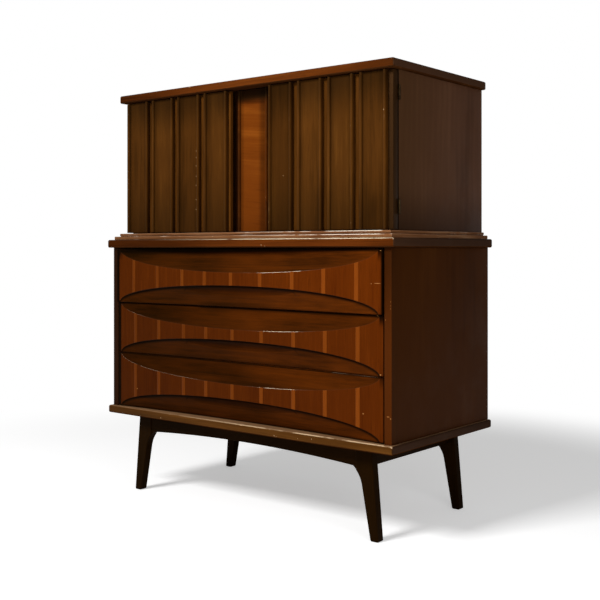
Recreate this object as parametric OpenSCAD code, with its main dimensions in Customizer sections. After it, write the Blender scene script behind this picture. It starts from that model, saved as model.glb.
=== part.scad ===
// Highboy: a two-door upper case on a stepped waist, over three sculpted drawers on splayed legs.
// The origin is on the floor under the middle of the piece. +X is to its right, -Y is its front, +Z is up.

/* [View] */
// which piece to draw, or all of them

/* [Lower case] */
// outer width of the lower case
case_w = 965; // [880:1:1040]
// depth of the lower case without its overhangs
case_d = 462; // [430:1:500]
// height of the lower case between the bottom slab and the waist band
lower_h = 456; // [430:1:480]
// thickness of the case sides
side_t = 20; // [16:1:24]
// thickness of the back panels
back_t = 6; // [4:0.5:8]
// width of the rebate that holds a back panel
back_rebate_w = 10; // [8:1:12]

/* [Bottom slab and waist] */
// thickness of the bottom slab
slab_t = 21; // [18:1:26]
// overhang of the bottom slab at each end
slab_over_x = 9.5; // [4:0.5:16]
// overhang of the bottom slab and the waist band in front of the drawers
slab_over_front = 12; // [8:0.5:18]
// overhang of the bottom slab and the top slab at the back
slab_over_back = 2; // [1:0.5:8]
// thickness of the waist band
band_t = 22.5; // [18:0.5:28]
// overhang of the waist band at each end
band_over_x = 13.5; // [6:0.5:20]
// radius of the slab edges
edge_r = 4.5; // [2:0.5:6]
// thickness of the lower step of the waist moulding
step_a_t = 9.5; // [7:0.5:12]
// height of the quirk between the two steps
quirk_h = 1.5; // [1:0.5:3]
// thickness of the upper step of the waist moulding
step_b_t = 7; // [5:0.5:10]
// inset of the lower step from the edge of the band
step_a_inset = 14; // [10:1:18]
// inset of the upper step from the edge of the band
step_b_inset = 25; // [20:1:30]
// depth of the quirk
quirk_d = 2; // [1:0.5:3]

/* [Upper case] */
// inset of the upper case from each end of the lower case
upper_inset = 18.5; // [12:0.5:50]
// height of the upper case between the waist and the top slab
upper_h = 379; // [350:1:400]
// setback of the upper case front from the drawer fronts
upper_setback = 58; // [54:1:66]
// thickness of the top slab
top_t = 22; // [18:1:26]
// overhang of the top slab at each end
top_over_x = 12; // [6:0.5:20]
// overhang of the top slab in front of the doors
top_over_front = 5.5; // [3:0.5:10]
// thickness of the floor, top board and partition
board_inner_t = 18; // [15:1:20]
// thickness of the shelves
shelf_t = 16; // [12:1:18]
// setback of the shelves behind the front of the upper case
shelf_setback = 24; // [12:1:40]
// gap between a shelf and the back panel
shelf_back_gap = 3; // [1:0.5:8]
// height of the shelves above the floor, as a share of the compartment
shelf_level = 0.48; // [0.35:0.01:0.65]
// radius of the shelf pins
pin_r = 2.5; // [2:0.5:3]
// length of the shelf pins
pin_len = 18; // [14:1:20]
// depth of the shelf pin holes
pin_hole_d = 9; // [7:1:10]
// distance of the shelf pins from the front and back edges of a shelf
pin_inset = 45; // [30:1:80]
// wood left between the two pin holes that meet in the partition
pin_web = 3; // [2:0.5:6]

/* [Doors] */
// width of the opening between the two doors
door_split_w = 135; // [125:1:150]
// offset of the opening to the right of the middle
door_split_x = 14; // [0:0.5:20]
// gap above and below a door
door_gap = 2.4; // [1.5:0.1:4]
// gap between the back of a door and the case
hinge_gap = 3.5; // [3:0.1:4.5]
// thickness of the panel behind the boards
door_panel_t = 19.5; // [16:0.5:22]
// thickness of the applied boards over their beads
board_t = 12.5; // [10:0.5:15]
// depth of the dish between the beads
board_dish = 7; // [5.5:0.5:8]
// width of a bead
bead_w = 8; // [6:0.5:8.5]
// width of the channels between the boards
channel_w = 19; // [14:1:24]
// number of boards on a door
boards_per_door = 4; // [4]
// lip of the panel beyond the boards at the hinge side
lip_hinge = 14; // [8:1:18]
// lip of the panel beyond the boards at the free side
lip_free = 6; // [3:1:10]
// width of the finger rebate behind the free edge
finger_w = 11; // [9:0.5:11.5]
// depth of the finger rebate behind the free edge
finger_d = 8.5; // [6:0.5:11]
// width of the dished board between the doors
centre_board_w = 104; // [96:1:107]
// overlap of a door on the centre stile
door_lap = 12.5; // [11.5:0.5:16]
// thickness of the centre stile
stile_t = 20; // [16:1:24]

/* [Hinges and catches] */
// length of a hinge
hinge_h = 35; // [30:1:50]
// distance of a hinge from the end of its door
hinge_end = 35; // [25:1:60]
// thickness of a hinge leaf
leaf_t = 1.2; // [1:0.1:1.3]
// width of a hinge leaf
leaf_w = 16; // [12:1:18]
// outer radius of a hinge knuckle
knuckle_r = 3; // [2.7:0.1:3.1]
// radius of a hinge pin
hinge_pin_r = 1.2; // [1:0.1:1.4]
// width of a catch
catch_w = 40; // [30:1:50]
// height of a catch
catch_h = 12; // [10:1:15]
// depth of a catch
catch_d = 24; // [18:1:30]
// thickness of a strike plate
strike_t = 1.2; // [1:0.1:1.5]
// height of a strike plate
strike_h = 10; // [8:1:10]

/* [Drawers] */
// height of the bottom drawer front
drawer_3_h = 152; // [140:1:160]
// height of the middle drawer front
drawer_2_h = 142; // [132:1:155]
// gap between two drawer fronts
drawer_gap = 1.5; // [1:0.1:3]
// gap above the top drawer front and below the bottom one
drawer_end_gap = 3; // [2:0.5:5]
// gap between a drawer front and the case side
drawer_side_gap = 2; // [1.5:0.5:4]
// thickness of a drawer front
front_t = 30; // [28:1:34]
// how far the top drawer stands open
drawer_1_open = 6; // [0:0.5:10]
// deepest point of the leaf-shaped scoops
leaf_depth = 20; // [14:0.5:21]
// half of the height of a leaf
leaf_half_h = 57.5; // [50:0.5:62]
// half of the height of the leaf at the top edge
top_leaf_half_h = 64; // [54:0.5:66]
// distance from the tip of a leaf to the end of the front
leaf_margin = 10.5; // [6:0.5:20]
// half of the length of the finger pull under the lip of a leaf
pull_half_w = 195; // [150:1:220]
// height of the finger pull
pull_h = 24; // [18:0.5:28]
// depth of the finger pull below the surface of the leaf
pull_depth = 6; // [3:0.5:7]
// distance of the finger pull from the lip
pull_lip = 2; // [1.5:0.5:5]
// number of inlay strips on a front
strip_count = 9; // [9]
// width of an inlay strip
strip_w = 12; // [8:0.5:16]
// spacing of the inlay strips
strip_pitch = 96.5; // [90:0.5:99]
// depth of an inlay strip
strip_d = 3; // [2:0.5:4]
// how far a strip stands out of the front
strip_proud = 0.3; // [0:0.1:0.6]

/* [Drawer boxes] */
// thickness of the drawer sides and backs
box_t = 12; // [10:1:14]
// gap between a drawer side and the case side
box_side_gap = 4; // [3:0.5:6]
// thickness of a drawer bottom
bottom_t = 5; // [4:0.5:6]
// depth of the grooves for a drawer bottom
bottom_groove = 5; // [4:0.5:6]
// height of a drawer bottom above the lower edge of its sides
bottom_raise = 10; // [8:1:14]
// depth of the sockets that hold the sides in the front
side_socket = 8; // [6:0.5:8]
// depth of the sockets that hold the back in the sides
back_socket = 5; // [4:0.5:6]
// length of the sides beyond the back
side_tail = 8; // [6:1:12]
// gap behind a closed drawer
box_back_gap = 20; // [12:1:40]
// gap above a drawer box
box_head_gap = 5; // [4:1:10]
// gap under the sides that lets a drawer slide
ride_gap = 0.3; // [0.2:0.1:0.5]
// thickness of the rails and runners behind the seams
rail_t = 18; // [15:1:20]
// depth of the rails from front to back
rail_d = 60; // [45:1:80]
// length of the rail tenons
rail_tenon = 7; // [5:1:9]
// thickness of the rail tenons
rail_tenon_t = 8; // [6:1:10]
// shoulder of the rail tenons at their front and back edges
rail_shoulder = 8; // [5:1:12]
// width of the side runners
runner_w = 24; // [20:1:30]
// thickness of the runners on the bottom slab
low_runner_t = 6; // [4:1:8]
// gap between a closed drawer front and the rail behind it
stop_gap = 0.3; // [0.2:0.1:0.6]

/* [Base] */
// height of the legs
leg_h = 220.5; // [190:0.5:250]
// width of a leg under the slab
leg_top_w = 45.5; // [42:0.5:50]
// width of a leg at the floor
leg_foot_w = 22.5; // [20:0.5:28]
// how far a foot stands out beyond the top of its leg
leg_splay = 19.5; // [12:0.5:24]
// depth of a leg from front to back
leg_d = 23; // [21:0.5:28]
// inset of the legs from the ends of the slab
leg_inset_x = 87.5; // [70:0.5:100]
// inset of the front legs from the front of the slab
leg_inset_front = 43; // [35:0.5:50]
// inset of the back legs from the back of the slab
leg_inset_back = 28.5; // [25:0.5:45]
// chamfer around a foot
foot_chamfer = 2.5; // [1.5:0.5:4]
// radius of the curved knee between a leg and the apron
knee_r = 69; // [60:1:80]
// reach of the knee along the apron
knee_reach = 10; // [8:1:14]
// height of the aprons at the legs
apron_h = 47.5; // [44:0.5:52]
// rise of the arch under the front and back aprons
apron_rise = 12.5; // [8:0.5:15]
// thickness of the aprons
apron_t = 19; // [17:1:20]
// setback of the front apron behind the legs
apron_setback = 2; // [1:0.5:3]
// length of the tenons of the front and back aprons
tenon_len = 10; // [8:1:12]
// shoulder of the apron tenons at their upper and lower edges
tenon_shoulder = 9; // [7:0.5:12]
// thickness of the apron tenons
tenon_t = 8; // [6:1:9]
// length of the tenons of the side aprons
side_tenon_len = 9; // [7:1:10]
// inset of the side aprons from the outer top edge of the legs
side_apron_inset = 16; // [14:1:18]
// length of the corner blocks along the aprons
block_len = 60; // [45:1:75]
// height of the corner blocks
block_h = 34; // [26:1:40]

/* [Hidden] */
$fn = 96;

// small overlap that keeps cutters clear of the faces they cut through
eps = 1;
// clearance between a seated piece and its socket
fit_gap = 0.15;
// radial clearance between a hinge pin and its knuckles
pin_gap = 0.05;
// fineness of the very large arcs
long_fn = 540;

// levels from the floor up
slab_z = leg_h;
lower_z = slab_z + slab_t;
band_z = lower_z + lower_h;
plinth_z = band_z + band_t;
upper_z = plinth_z + step_a_t + quirk_h + step_b_t;
top_z = upper_z + upper_h;

// planes from front to back
overall_d = case_d + slab_over_front + slab_over_back;
slab_front_y = -overall_d / 2;
slab_back_y = overall_d / 2;
case_front_y = slab_front_y + slab_over_front;
case_back_y = case_front_y + case_d;
upper_front_y = case_front_y + upper_setback;
door_back_y = upper_front_y - hinge_gap;
door_face_y = door_back_y - door_panel_t;
board_front_y = door_face_y - board_t;

// inside of the cases
upper_w = case_w - 2 * upper_inset;
case_in_x = case_w / 2 - side_t;
upper_in_x = upper_w / 2 - side_t;
case_inner_back_y = case_back_y - back_t;
floor_top_z = upper_z + board_inner_t;
ceiling_z = top_z - board_inner_t;
dado_d = side_t / 3;
slab_half_w = case_w / 2 + slab_over_x;
band_half_w = case_w / 2 + band_over_x;

// doors
split_left_x = door_split_x - door_split_w / 2;
split_right_x = door_split_x + door_split_w / 2;
door_z = upper_z + door_gap;
door_h = upper_h - 2 * door_gap;
door_left_w = split_left_x + upper_w / 2;
door_right_w = upper_w / 2 - split_right_x;
lips_and_channels = lip_hinge + lip_free + (boards_per_door - 1) * channel_w;
board_left_w = (door_left_w - lips_and_channels) / boards_per_door;
board_right_w = (door_right_w - lips_and_channels) / boards_per_door;
stile_w = door_split_w + 2 * door_lap;

// hinges
hinge_x = upper_w / 2 + knuckle_r + 0.4;
hinge_y = upper_front_y - hinge_gap / 2;
knuckle_gap = 0.3;
knuckle_len = (hinge_h - 2 * knuckle_gap) / 3;
pin_bore_r = hinge_pin_r + pin_gap;
pin_head_h = 1.5;
pin_head_r = hinge_pin_r + 1.2;
hinge_zs = [door_z + hinge_end, door_z + door_h - hinge_end - hinge_h];

// drawers
front_half_w = case_in_x - drawer_side_gap;
drawer_1_h = lower_h - drawer_3_h - drawer_2_h - 2 * drawer_gap - 2 * drawer_end_gap;
drawer_3_z = lower_z + drawer_end_gap;
drawer_2_z = drawer_3_z + drawer_3_h + drawer_gap;
drawer_1_z = drawer_2_z + drawer_2_h + drawer_gap;
seam_low_z = lower_z + drawer_end_gap / 2;
seam_32_z = drawer_2_z - drawer_gap / 2;
seam_21_z = drawer_1_z - drawer_gap / 2;
seam_top_z = band_z - drawer_end_gap / 2;
leaf_half_w = front_half_w - leaf_margin;
box_out_x = case_in_x - box_side_gap;
box_in_x = box_out_x - box_t;
rail_front_y = case_front_y + front_t + stop_gap;
box_end_y = case_inner_back_y - box_back_gap;
box_back_y = box_end_y - side_tail - box_t;
box_1_z = seam_21_z + rail_t / 2 + ride_gap;
box_2_z = seam_32_z + rail_t / 2 + ride_gap;
box_3_z = lower_z + low_runner_t + ride_gap;
box_1_h = band_z - box_head_gap - box_1_z;
box_2_h = seam_21_z - rail_t / 2 - box_head_gap - box_2_z;
box_3_h = seam_32_z - rail_t / 2 - box_head_gap - box_3_z;

// base
leg_out_x = slab_half_w - leg_inset_x;
leg_in_x = leg_out_x - leg_top_w;
foot_out_x = leg_out_x + leg_splay;
foot_in_x = foot_out_x - leg_foot_w;
leg_front_y = slab_front_y + leg_inset_front;
leg_back_y = slab_back_y - leg_inset_back - leg_d;
apron_z = slab_z - apron_h;
leg_lean = atan((foot_in_x - leg_in_x) / leg_h);
knee_x = leg_in_x - knee_reach;
knee_along = (knee_x - foot_in_x) * -sin(leg_lean) + apron_z * cos(leg_lean);
knee_off = (foot_in_x - knee_x) * cos(leg_lean) - apron_z * sin(leg_lean);
knee_start = knee_along - sqrt(2 * knee_off * knee_r - knee_off * knee_off);
knee_cx = foot_in_x - knee_start * sin(leg_lean) - knee_r * cos(leg_lean);
knee_cz = knee_start * cos(leg_lean) - knee_r * sin(leg_lean);
arch_r = (knee_x * knee_x + apron_rise * apron_rise) / (2 * apron_rise);
tenon_z = apron_z + tenon_shoulder;
tenon_h = apron_h - 2 * tenon_shoulder;
side_apron_x = leg_out_x - side_apron_inset;

// wood tones
case_colour = [0.30, 0.17, 0.09];
slab_colour = [0.40, 0.22, 0.10];
front_colour = [0.38, 0.19, 0.07];
strip_colour = [0.52, 0.30, 0.13];
door_colour = [0.31, 0.21, 0.10];
figured_colour = [0.50, 0.26, 0.09];
inner_colour = [0.70, 0.56, 0.38];
metal_colour = [0.62, 0.52, 0.32];

// a box given by its two opposite corners
module block(low, high) {
    translate(low) {
        cube([high[0] - low[0], high[1] - low[1], high[2] - low[2]]);
    }
}

// rectangle with rounded corners, centred across and standing on its lower edge
module soft_rectangle(w, t, r) {
    translate([-w / 2 + r, 0]) {
        square([w - 2 * r, t]);
    }
    translate([-w / 2, r]) {
        square([w, t - 2 * r]);
    }
    for (x = [-w / 2 + r, w / 2 - r]) {
        for (z = [r, t - r]) {
            translate([x, z]) {
                circle(r = r);
            }
        }
    }
}

// slab with all its long edges rounded and mitred at the corners
module soft_slab(w, front, back, z, t, r) {
    d = back - front;
    intersection() {
        translate([0, back, z]) {
            rotate([90, 0, 0]) {
                linear_extrude(height = d) {
                    soft_rectangle(w, t, r);
                }
            }
        }
        translate([-w / 2, (front + back) / 2, z]) {
            rotate([90, 0, 90]) {
                linear_extrude(height = w) {
                    soft_rectangle(d, t, r);
                }
            }
        }
    }
}

// the sculpted leaf: a shallow boat-shaped scoop across a seam, turned about an upright axis far in front
// only its stretch between two positions along the seam is made
module leaf_scoop(face_y, seam_z, half_h, from_x, to_x) {
    sweep_r = (leaf_half_w * leaf_half_w + leaf_depth * leaf_depth) / (2 * leaf_depth);
    cross_r = (half_h * half_h + leaf_depth * leaf_depth) / (2 * leaf_depth);
    from_angle = asin(from_x / sweep_r);
    to_angle = asin(to_x / sweep_r);
    margin = 6;
    translate([0, face_y + leaf_depth - sweep_r, seam_z]) {
        rotate([0, 0, 90 - to_angle]) {
            rotate_extrude(angle = to_angle - from_angle, $fn = long_fn) {
                intersection() {
                    translate([sweep_r - cross_r, 0]) {
                        circle(r = cross_r, $fn = 180);
                    }
                    translate([sweep_r - leaf_depth - margin, -half_h * 2]) {
                        square([leaf_depth + margin * 2, half_h * 4]);
                    }
                }
            }
        }
    }
}

// round bead with the small cove that leads from it into the dish, seen from above
module bead_profile() {
    cove_r = board_dish - bead_w / 2;
    translate([0, bead_w / 2 - board_t]) {
        square([bead_w, board_t - bead_w / 2]);
    }
    translate([bead_w / 2, bead_w / 2 - board_t]) {
        circle(r = bead_w / 2);
    }
    difference() {
        translate([bead_w / 2, bead_w / 2 - board_t]) {
            square([bead_w / 2 + cove_r, cove_r + 1]);
        }
        translate([bead_w + cove_r, bead_w / 2 - board_t]) {
            circle(r = cove_r);
        }
    }
}

// finger pull: a short hollow under the lip of a leaf that makes the lip easy to grip
// its ends run out into the surface of the leaf, because its sweep is tighter than that of the leaf
module finger_pull(face_y, seam_z, from_x, to_x) {
    sweep_r = (leaf_half_w * leaf_half_w + leaf_depth * leaf_depth) / (2 * leaf_depth);
    cross_r = (leaf_half_h * leaf_half_h + leaf_depth * leaf_depth) / (2 * leaf_depth);
    high_z = leaf_half_h - pull_lip;
    low_z = high_z - pull_h;
    high_y = sqrt(cross_r * cross_r - high_z * high_z) - cross_r + leaf_depth;
    low_y = sqrt(cross_r * cross_r - low_z * low_z) - cross_r + leaf_depth;
    chord = norm([low_y - high_y, pull_h]);
    hollow = pull_depth + chord * chord / (8 * cross_r);
    pull_r = (chord * chord / 4 + hollow * hollow) / (2 * hollow);
    lean_y = pull_h / chord;
    lean_z = (low_y - high_y) / chord;
    centre_y = (high_y + low_y) / 2 - lean_y * (pull_r - hollow);
    centre_z = (high_z + low_z) / 2 - lean_z * (pull_r - hollow);
    pull_sweep_r = 1 / (2 * pull_depth / (lean_y * pull_half_w * pull_half_w) + 1 / sweep_r);
    from_angle = asin(from_x / pull_sweep_r);
    to_angle = asin(to_x / pull_sweep_r);
    translate([0, face_y + centre_y + pull_r - pull_sweep_r, seam_z]) {
        rotate([0, 0, 90 - to_angle]) {
            rotate_extrude(angle = to_angle - from_angle, $fn = long_fn) {
                translate([pull_sweep_r - pull_r, centre_z]) {
                    circle(r = pull_r, $fn = 96);
                }
            }
        }
    }
}

// dished board between two round beads, seen from above with its back on the line y = 0
module dished_profile(w) {
    translate([0, board_dish - board_t]) {
        square([w, board_t - board_dish]);
    }
    bead_profile();
    translate([w, 0]) {
        mirror([1, 0]) {
            bead_profile();
        }
    }
}

// dished board standing on the face at back_y
module dished_board(x, w, back_y) {
    translate([x, back_y, door_z]) {
        linear_extrude(height = door_h) {
            dished_profile(w);
        }
    }
}

module top_slab() {
    color(slab_colour)
    soft_slab(upper_w + 2 * top_over_x, board_front_y - top_over_front, slab_back_y, top_z, top_t, edge_r);
}

// upper case side with its dados, back rebate and shelf pin holes
module upper_side() {
    difference() {
        block([upper_in_x, upper_front_y, upper_z], [upper_w / 2, case_back_y, top_z]);
        block(
            [upper_in_x - eps, case_inner_back_y - fit_gap, upper_z - eps],
            [upper_in_x + back_rebate_w + fit_gap, case_back_y + eps, top_z + eps]
        );
        for (z = [upper_z, ceiling_z]) {
            block(
                [upper_in_x - eps, upper_front_y - eps, z - fit_gap],
                [upper_in_x + dado_d + fit_gap, case_back_y + eps, z + board_inner_t + fit_gap]
            );
        }
        for (y = shelf_pin_ys) {
            translate([upper_in_x - eps, y, shelf_z - pin_r]) {
                rotate([0, 90, 0]) {
                    cylinder(h = pin_hole_d + eps, r = pin_r + pin_gap, $fn = 48);
                }
            }
        }
    }
}

// shelves rest on the pins
compartment_h = ceiling_z - floor_top_z;
shelf_z = floor_top_z + compartment_h * shelf_level;
shelf_front_y = upper_front_y + shelf_setback;
shelf_back_y = case_inner_back_y - shelf_back_gap;
shelf_pin_ys = [shelf_front_y + pin_inset, shelf_back_y - pin_inset];
partition_left_x = door_split_x - board_inner_t / 2;
partition_right_x = door_split_x + board_inner_t / 2;
partition_front_y = upper_front_y + stile_t;

module upper_side_left() {
    color(case_colour)
    mirror([1, 0, 0]) {
        upper_side();
    }
}

module upper_side_right() {
    color(case_colour)
    upper_side();
}

module upper_top_board() {
    color(case_colour)
    difference() {
        block(
            [-upper_in_x - dado_d, upper_front_y, ceiling_z],
            [upper_in_x + dado_d, case_inner_back_y - 2 * fit_gap, top_z]
        );
        block(
            [partition_left_x - fit_gap, partition_front_y, ceiling_z - eps],
            [partition_right_x + fit_gap, case_back_y, ceiling_z + dado_d + fit_gap]
        );
        block(
            [door_split_x - stile_w / 2 - fit_gap, upper_front_y - eps, ceiling_z - eps],
            [door_split_x + stile_w / 2 + fit_gap, partition_front_y + fit_gap, top_z + eps]
        );
    }
}

module upper_floor() {
    color(case_colour)
    difference() {
        block(
            [-upper_in_x - dado_d, upper_front_y, upper_z],
            [upper_in_x + dado_d, case_inner_back_y - 2 * fit_gap, floor_top_z]
        );
        block(
            [partition_left_x - fit_gap, partition_front_y, floor_top_z - dado_d - fit_gap],
            [partition_right_x + fit_gap, case_back_y, floor_top_z + eps]
        );
        block(
            [door_split_x - stile_w / 2 - fit_gap, upper_front_y - eps, upper_z - eps],
            [door_split_x + stile_w / 2 + fit_gap, partition_front_y + fit_gap, floor_top_z + eps]
        );
    }
}

module upper_back_panel() {
    color(inner_colour)
    block(
        [-upper_in_x - back_rebate_w, case_inner_back_y, upper_z + fit_gap],
        [upper_in_x + back_rebate_w, case_back_y, top_z - fit_gap]
    );
}

module centre_stile() {
    color(case_colour)
    block(
        [door_split_x - stile_w / 2, upper_front_y, upper_z],
        [door_split_x + stile_w / 2, partition_front_y, top_z]
    );
}

module centre_board() {
    color(figured_colour)
    dished_board(door_split_x - centre_board_w / 2, centre_board_w, upper_front_y);
}

module centre_partition() {
    color(case_colour)
    difference() {
        block(
            [partition_left_x, partition_front_y, floor_top_z - dado_d],
            [partition_right_x, case_inner_back_y - 2 * fit_gap, ceiling_z + dado_d]
        );
        for (y = shelf_pin_ys) {
            for (x = [partition_left_x, partition_right_x]) {
                translate([x, y, shelf_z - pin_r]) {
                    rotate([0, 90, 0]) {
                        cylinder(h = 2 * partition_hole_d, r = pin_r + pin_gap, center = true, $fn = 48);
                    }
                }
            }
        }
    }
}

// the partition is bored from both sides, so its holes stay short of the middle
partition_hole_d = board_inner_t / 2 - pin_web / 2;
shelf_play = 1;

module shelf(low_x, high_x) {
    color(inner_colour)
    block([low_x + shelf_play, shelf_front_y, shelf_z], [high_x - shelf_play, shelf_back_y, shelf_z + shelf_t]);
}

module shelf_left() {
    shelf(-upper_in_x, partition_left_x);
}

module shelf_right() {
    shelf(partition_right_x, upper_in_x);
}

// a shelf pin lying along X
module shelf_pin(x, y, len) {
    translate([x, y, shelf_z - pin_r]) {
        rotate([0, 90, 0]) {
            cylinder(h = len, r = pin_r, $fn = 48);
        }
    }
}

module shelf_pins() {
    side_depth = pin_hole_d - fit_gap;
    partition_depth = partition_hole_d - fit_gap;
    color(metal_colour)
    for (y = shelf_pin_ys) {
        shelf_pin(-upper_in_x - side_depth, y, pin_len);
        shelf_pin(upper_in_x + side_depth - pin_len, y, pin_len);
        shelf_pin(partition_left_x + partition_depth - pin_len, y, pin_len);
        shelf_pin(partition_right_x - partition_depth, y, pin_len);
    }
}

// hinge barrel section with its bore
module knuckle(z) {
    difference() {
        translate([hinge_x, hinge_y, z]) {
            cylinder(h = knuckle_len, r = knuckle_r, $fn = 64);
        }
        translate([hinge_x, hinge_y, z - eps]) {
            cylinder(h = knuckle_len + 2 * eps, r = pin_bore_r, $fn = 64);
        }
    }
}

// flat plate of a hinge from its knuckle inwards, with the pin bore kept free
module hinge_plate(z, h, low_y) {
    difference() {
        block([hinge_x - knuckle_r - leaf_w, low_y, z], [hinge_x, low_y + leaf_t, z + h]);
        translate([hinge_x, hinge_y, z - eps]) {
            cylinder(h = h + 2 * eps, r = pin_bore_r, $fn = 64);
        }
    }
}

// case half of a hinge: two outer knuckles, the plate on the case edge
module case_half(z) {
    plate_y = upper_front_y - leaf_t;
    mid_z = z + knuckle_len + knuckle_gap;
    difference() {
        union() {
            hinge_plate(z, hinge_h, plate_y);
            knuckle(z);
            knuckle(z + hinge_h - knuckle_len);
        }
        translate([hinge_x, hinge_y, mid_z - knuckle_gap]) {
            cylinder(h = knuckle_len + 2 * knuckle_gap, r = knuckle_r + knuckle_gap, $fn = 64);
        }
    }
}

// door half of a hinge: the middle knuckle, the plate on the back of the door
module door_half(z) {
    mid_z = z + knuckle_len + knuckle_gap;
    difference() {
        union() {
            hinge_plate(z, hinge_h, door_back_y);
            knuckle(mid_z);
        }
        translate([hinge_x, hinge_y, z - eps]) {
            cylinder(h = knuckle_len + knuckle_gap + eps, r = knuckle_r + knuckle_gap, $fn = 64);
        }
        translate([hinge_x, hinge_y, mid_z + knuckle_len]) {
            cylinder(h = knuckle_len + knuckle_gap + eps, r = knuckle_r + knuckle_gap, $fn = 64);
        }
    }
}

// headed pin that drops through the three knuckles
module hinge_pin(z) {
    translate([hinge_x, hinge_y, z]) {
        cylinder(h = hinge_h, r = hinge_pin_r, $fn = 64);
    }
    translate([hinge_x, hinge_y, z + hinge_h]) {
        cylinder(h = pin_head_h, r = pin_head_r, $fn = 64);
    }
}

module hinge_case_leaves() {
    color(metal_colour)
    for (z = hinge_zs) {
        for (side = [0, 1]) {
            mirror([side, 0, 0]) {
                case_half(z);
                hinge_pin(z);
            }
        }
    }
}

// catches hang under the top board beside the centre stile
strike_gap = 0.3;
catch_y = door_back_y + strike_t + strike_gap;
catch_stile_gap = 4;
catch_left_x = door_split_x - stile_w / 2 - catch_stile_gap - catch_w;
catch_right_x = door_split_x + stile_w / 2 + catch_stile_gap;

module door_catches() {
    color(metal_colour)
    for (x = [catch_left_x, catch_right_x]) {
        block([x, catch_y, ceiling_z - catch_h], [x + catch_w, catch_y + catch_d, ceiling_z]);
    }
}

module waist_moulding() {
    half_a = band_half_w - step_a_inset;
    half_b = band_half_w - step_b_inset;
    front_a = slab_front_y + step_a_inset;
    front_b = slab_front_y + step_b_inset;
    color(slab_colour) {
        soft_slab(2 * half_a, front_a, case_back_y, plinth_z, step_a_t, 2);
        soft_slab(2 * half_b, front_b, case_back_y, plinth_z + step_a_t + quirk_h, step_b_t, 2);
        block(
            [-half_b + quirk_d, front_b + quirk_d, plinth_z + step_a_t / 2],
            [half_b - quirk_d, case_back_y - quirk_d, upper_z - step_b_t / 2]
        );
    }
}

module waist_band() {
    color(slab_colour)
    soft_slab(2 * band_half_w, slab_front_y, case_back_y, band_z, band_t, edge_r);
}

// lower case side with its rail mortises and back rebate
module lower_side() {
    difference() {
        block([case_in_x, case_front_y, lower_z], [case_w / 2, case_back_y, band_z]);
        block(
            [case_in_x - eps, case_inner_back_y - fit_gap, lower_z - eps],
            [case_in_x + back_rebate_w + fit_gap, case_back_y + eps, band_z + eps]
        );
        for (z = [seam_32_z, seam_21_z]) {
            block(
                [case_in_x - eps, rail_front_y + rail_shoulder - fit_gap, z - rail_tenon_t / 2 - fit_gap],
                [
                    case_in_x + rail_tenon + fit_gap,
                    rail_front_y + rail_d - rail_shoulder + fit_gap,
                    z + rail_tenon_t / 2 + fit_gap
                ]
            );
        }
    }
}

module lower_side_left() {
    color(case_colour)
    mirror([1, 0, 0]) {
        lower_side();
    }
}

module lower_side_right() {
    color(case_colour)
    lower_side();
}

module lower_back_panel() {
    color(inner_colour)
    block(
        [-case_in_x - back_rebate_w, case_inner_back_y, lower_z + fit_gap],
        [case_in_x + back_rebate_w, case_back_y, band_z - fit_gap]
    );
}

module drawer_rails() {
    color(inner_colour)
    for (z = [seam_32_z, seam_21_z]) {
        block(
            [-case_in_x, rail_front_y, z - rail_t / 2],
            [case_in_x, rail_front_y + rail_d, z + rail_t / 2]
        );
        block(
            [-case_in_x - rail_tenon, rail_front_y + rail_shoulder, z - rail_tenon_t / 2],
            [case_in_x + rail_tenon, rail_front_y + rail_d - rail_shoulder, z + rail_tenon_t / 2]
        );
    }
}

// one runner on the right side of the case
module side_runner(low_z, high_z, front) {
    block([case_in_x - runner_w, front, low_z], [case_in_x, case_inner_back_y - 1, high_z]);
}

module drawer_runners() {
    color(inner_colour)
    for (side = [0, 1]) {
        mirror([side, 0, 0]) {
            side_runner(seam_32_z - rail_t / 2, seam_32_z + rail_t / 2, rail_front_y + rail_d);
            side_runner(seam_21_z - rail_t / 2, seam_21_z + rail_t / 2, rail_front_y + rail_d);
            side_runner(lower_z, lower_z + low_runner_t, rail_front_y);
        }
    }
}

module bottom_slab() {
    color(slab_colour)
    soft_slab(2 * slab_half_w, slab_front_y, slab_back_y, slab_z, slab_t, edge_r);
}

// disc that rounds the knee in the plane of the legs
module knee_disc() {
    translate([knee_cx, knee_cz]) {
        circle(r = knee_r, $fn = 180);
    }
}

// right leg seen from the front
module leg_profile() {
    chamfer_lean = foot_chamfer * leg_splay / leg_h;
    difference() {
        polygon([
            [leg_in_x, leg_h],
            [leg_out_x, leg_h],
            [foot_out_x - chamfer_lean, foot_chamfer],
            [foot_out_x - foot_chamfer, 0],
            [foot_in_x + foot_chamfer, 0],
            [foot_in_x - foot_chamfer * tan(leg_lean), foot_chamfer],
            [foot_in_x - knee_start * sin(leg_lean), knee_start * cos(leg_lean)],
            [leg_in_x, knee_start * cos(leg_lean)]
        ]);
        knee_disc();
    }
}

// right leg with its mortises, side_dir is 1 where the side apron enters its back face and -1 at its front
module leg(front_y, side_dir) {
    mid_y = front_y + leg_d / 2;
    side_face_y = mid_y + side_dir * leg_d / 2;
    mortise_y = front_y + (leg_d - tenon_t) / 2;
    difference() {
        translate([0, front_y + leg_d, 0]) {
            rotate([90, 0, 0]) {
                linear_extrude(height = leg_d) {
                    leg_profile();
                }
            }
        }
        block(
            [leg_in_x - eps, mortise_y - fit_gap, tenon_z - fit_gap],
            [leg_in_x + tenon_len + fit_gap, mortise_y + tenon_t + fit_gap, tenon_z + tenon_h + fit_gap]
        );
        translate([side_apron_x - apron_t / 2, side_face_y, tenon_z + tenon_h / 2]) {
            cube([tenon_t + 2 * fit_gap, 2 * (side_tenon_len + fit_gap), tenon_h + 2 * fit_gap], center = true);
        }
    }
}

module leg_front_left() {
    color(case_colour)
    mirror([1, 0, 0]) {
        leg(leg_front_y, 1);
    }
}

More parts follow.
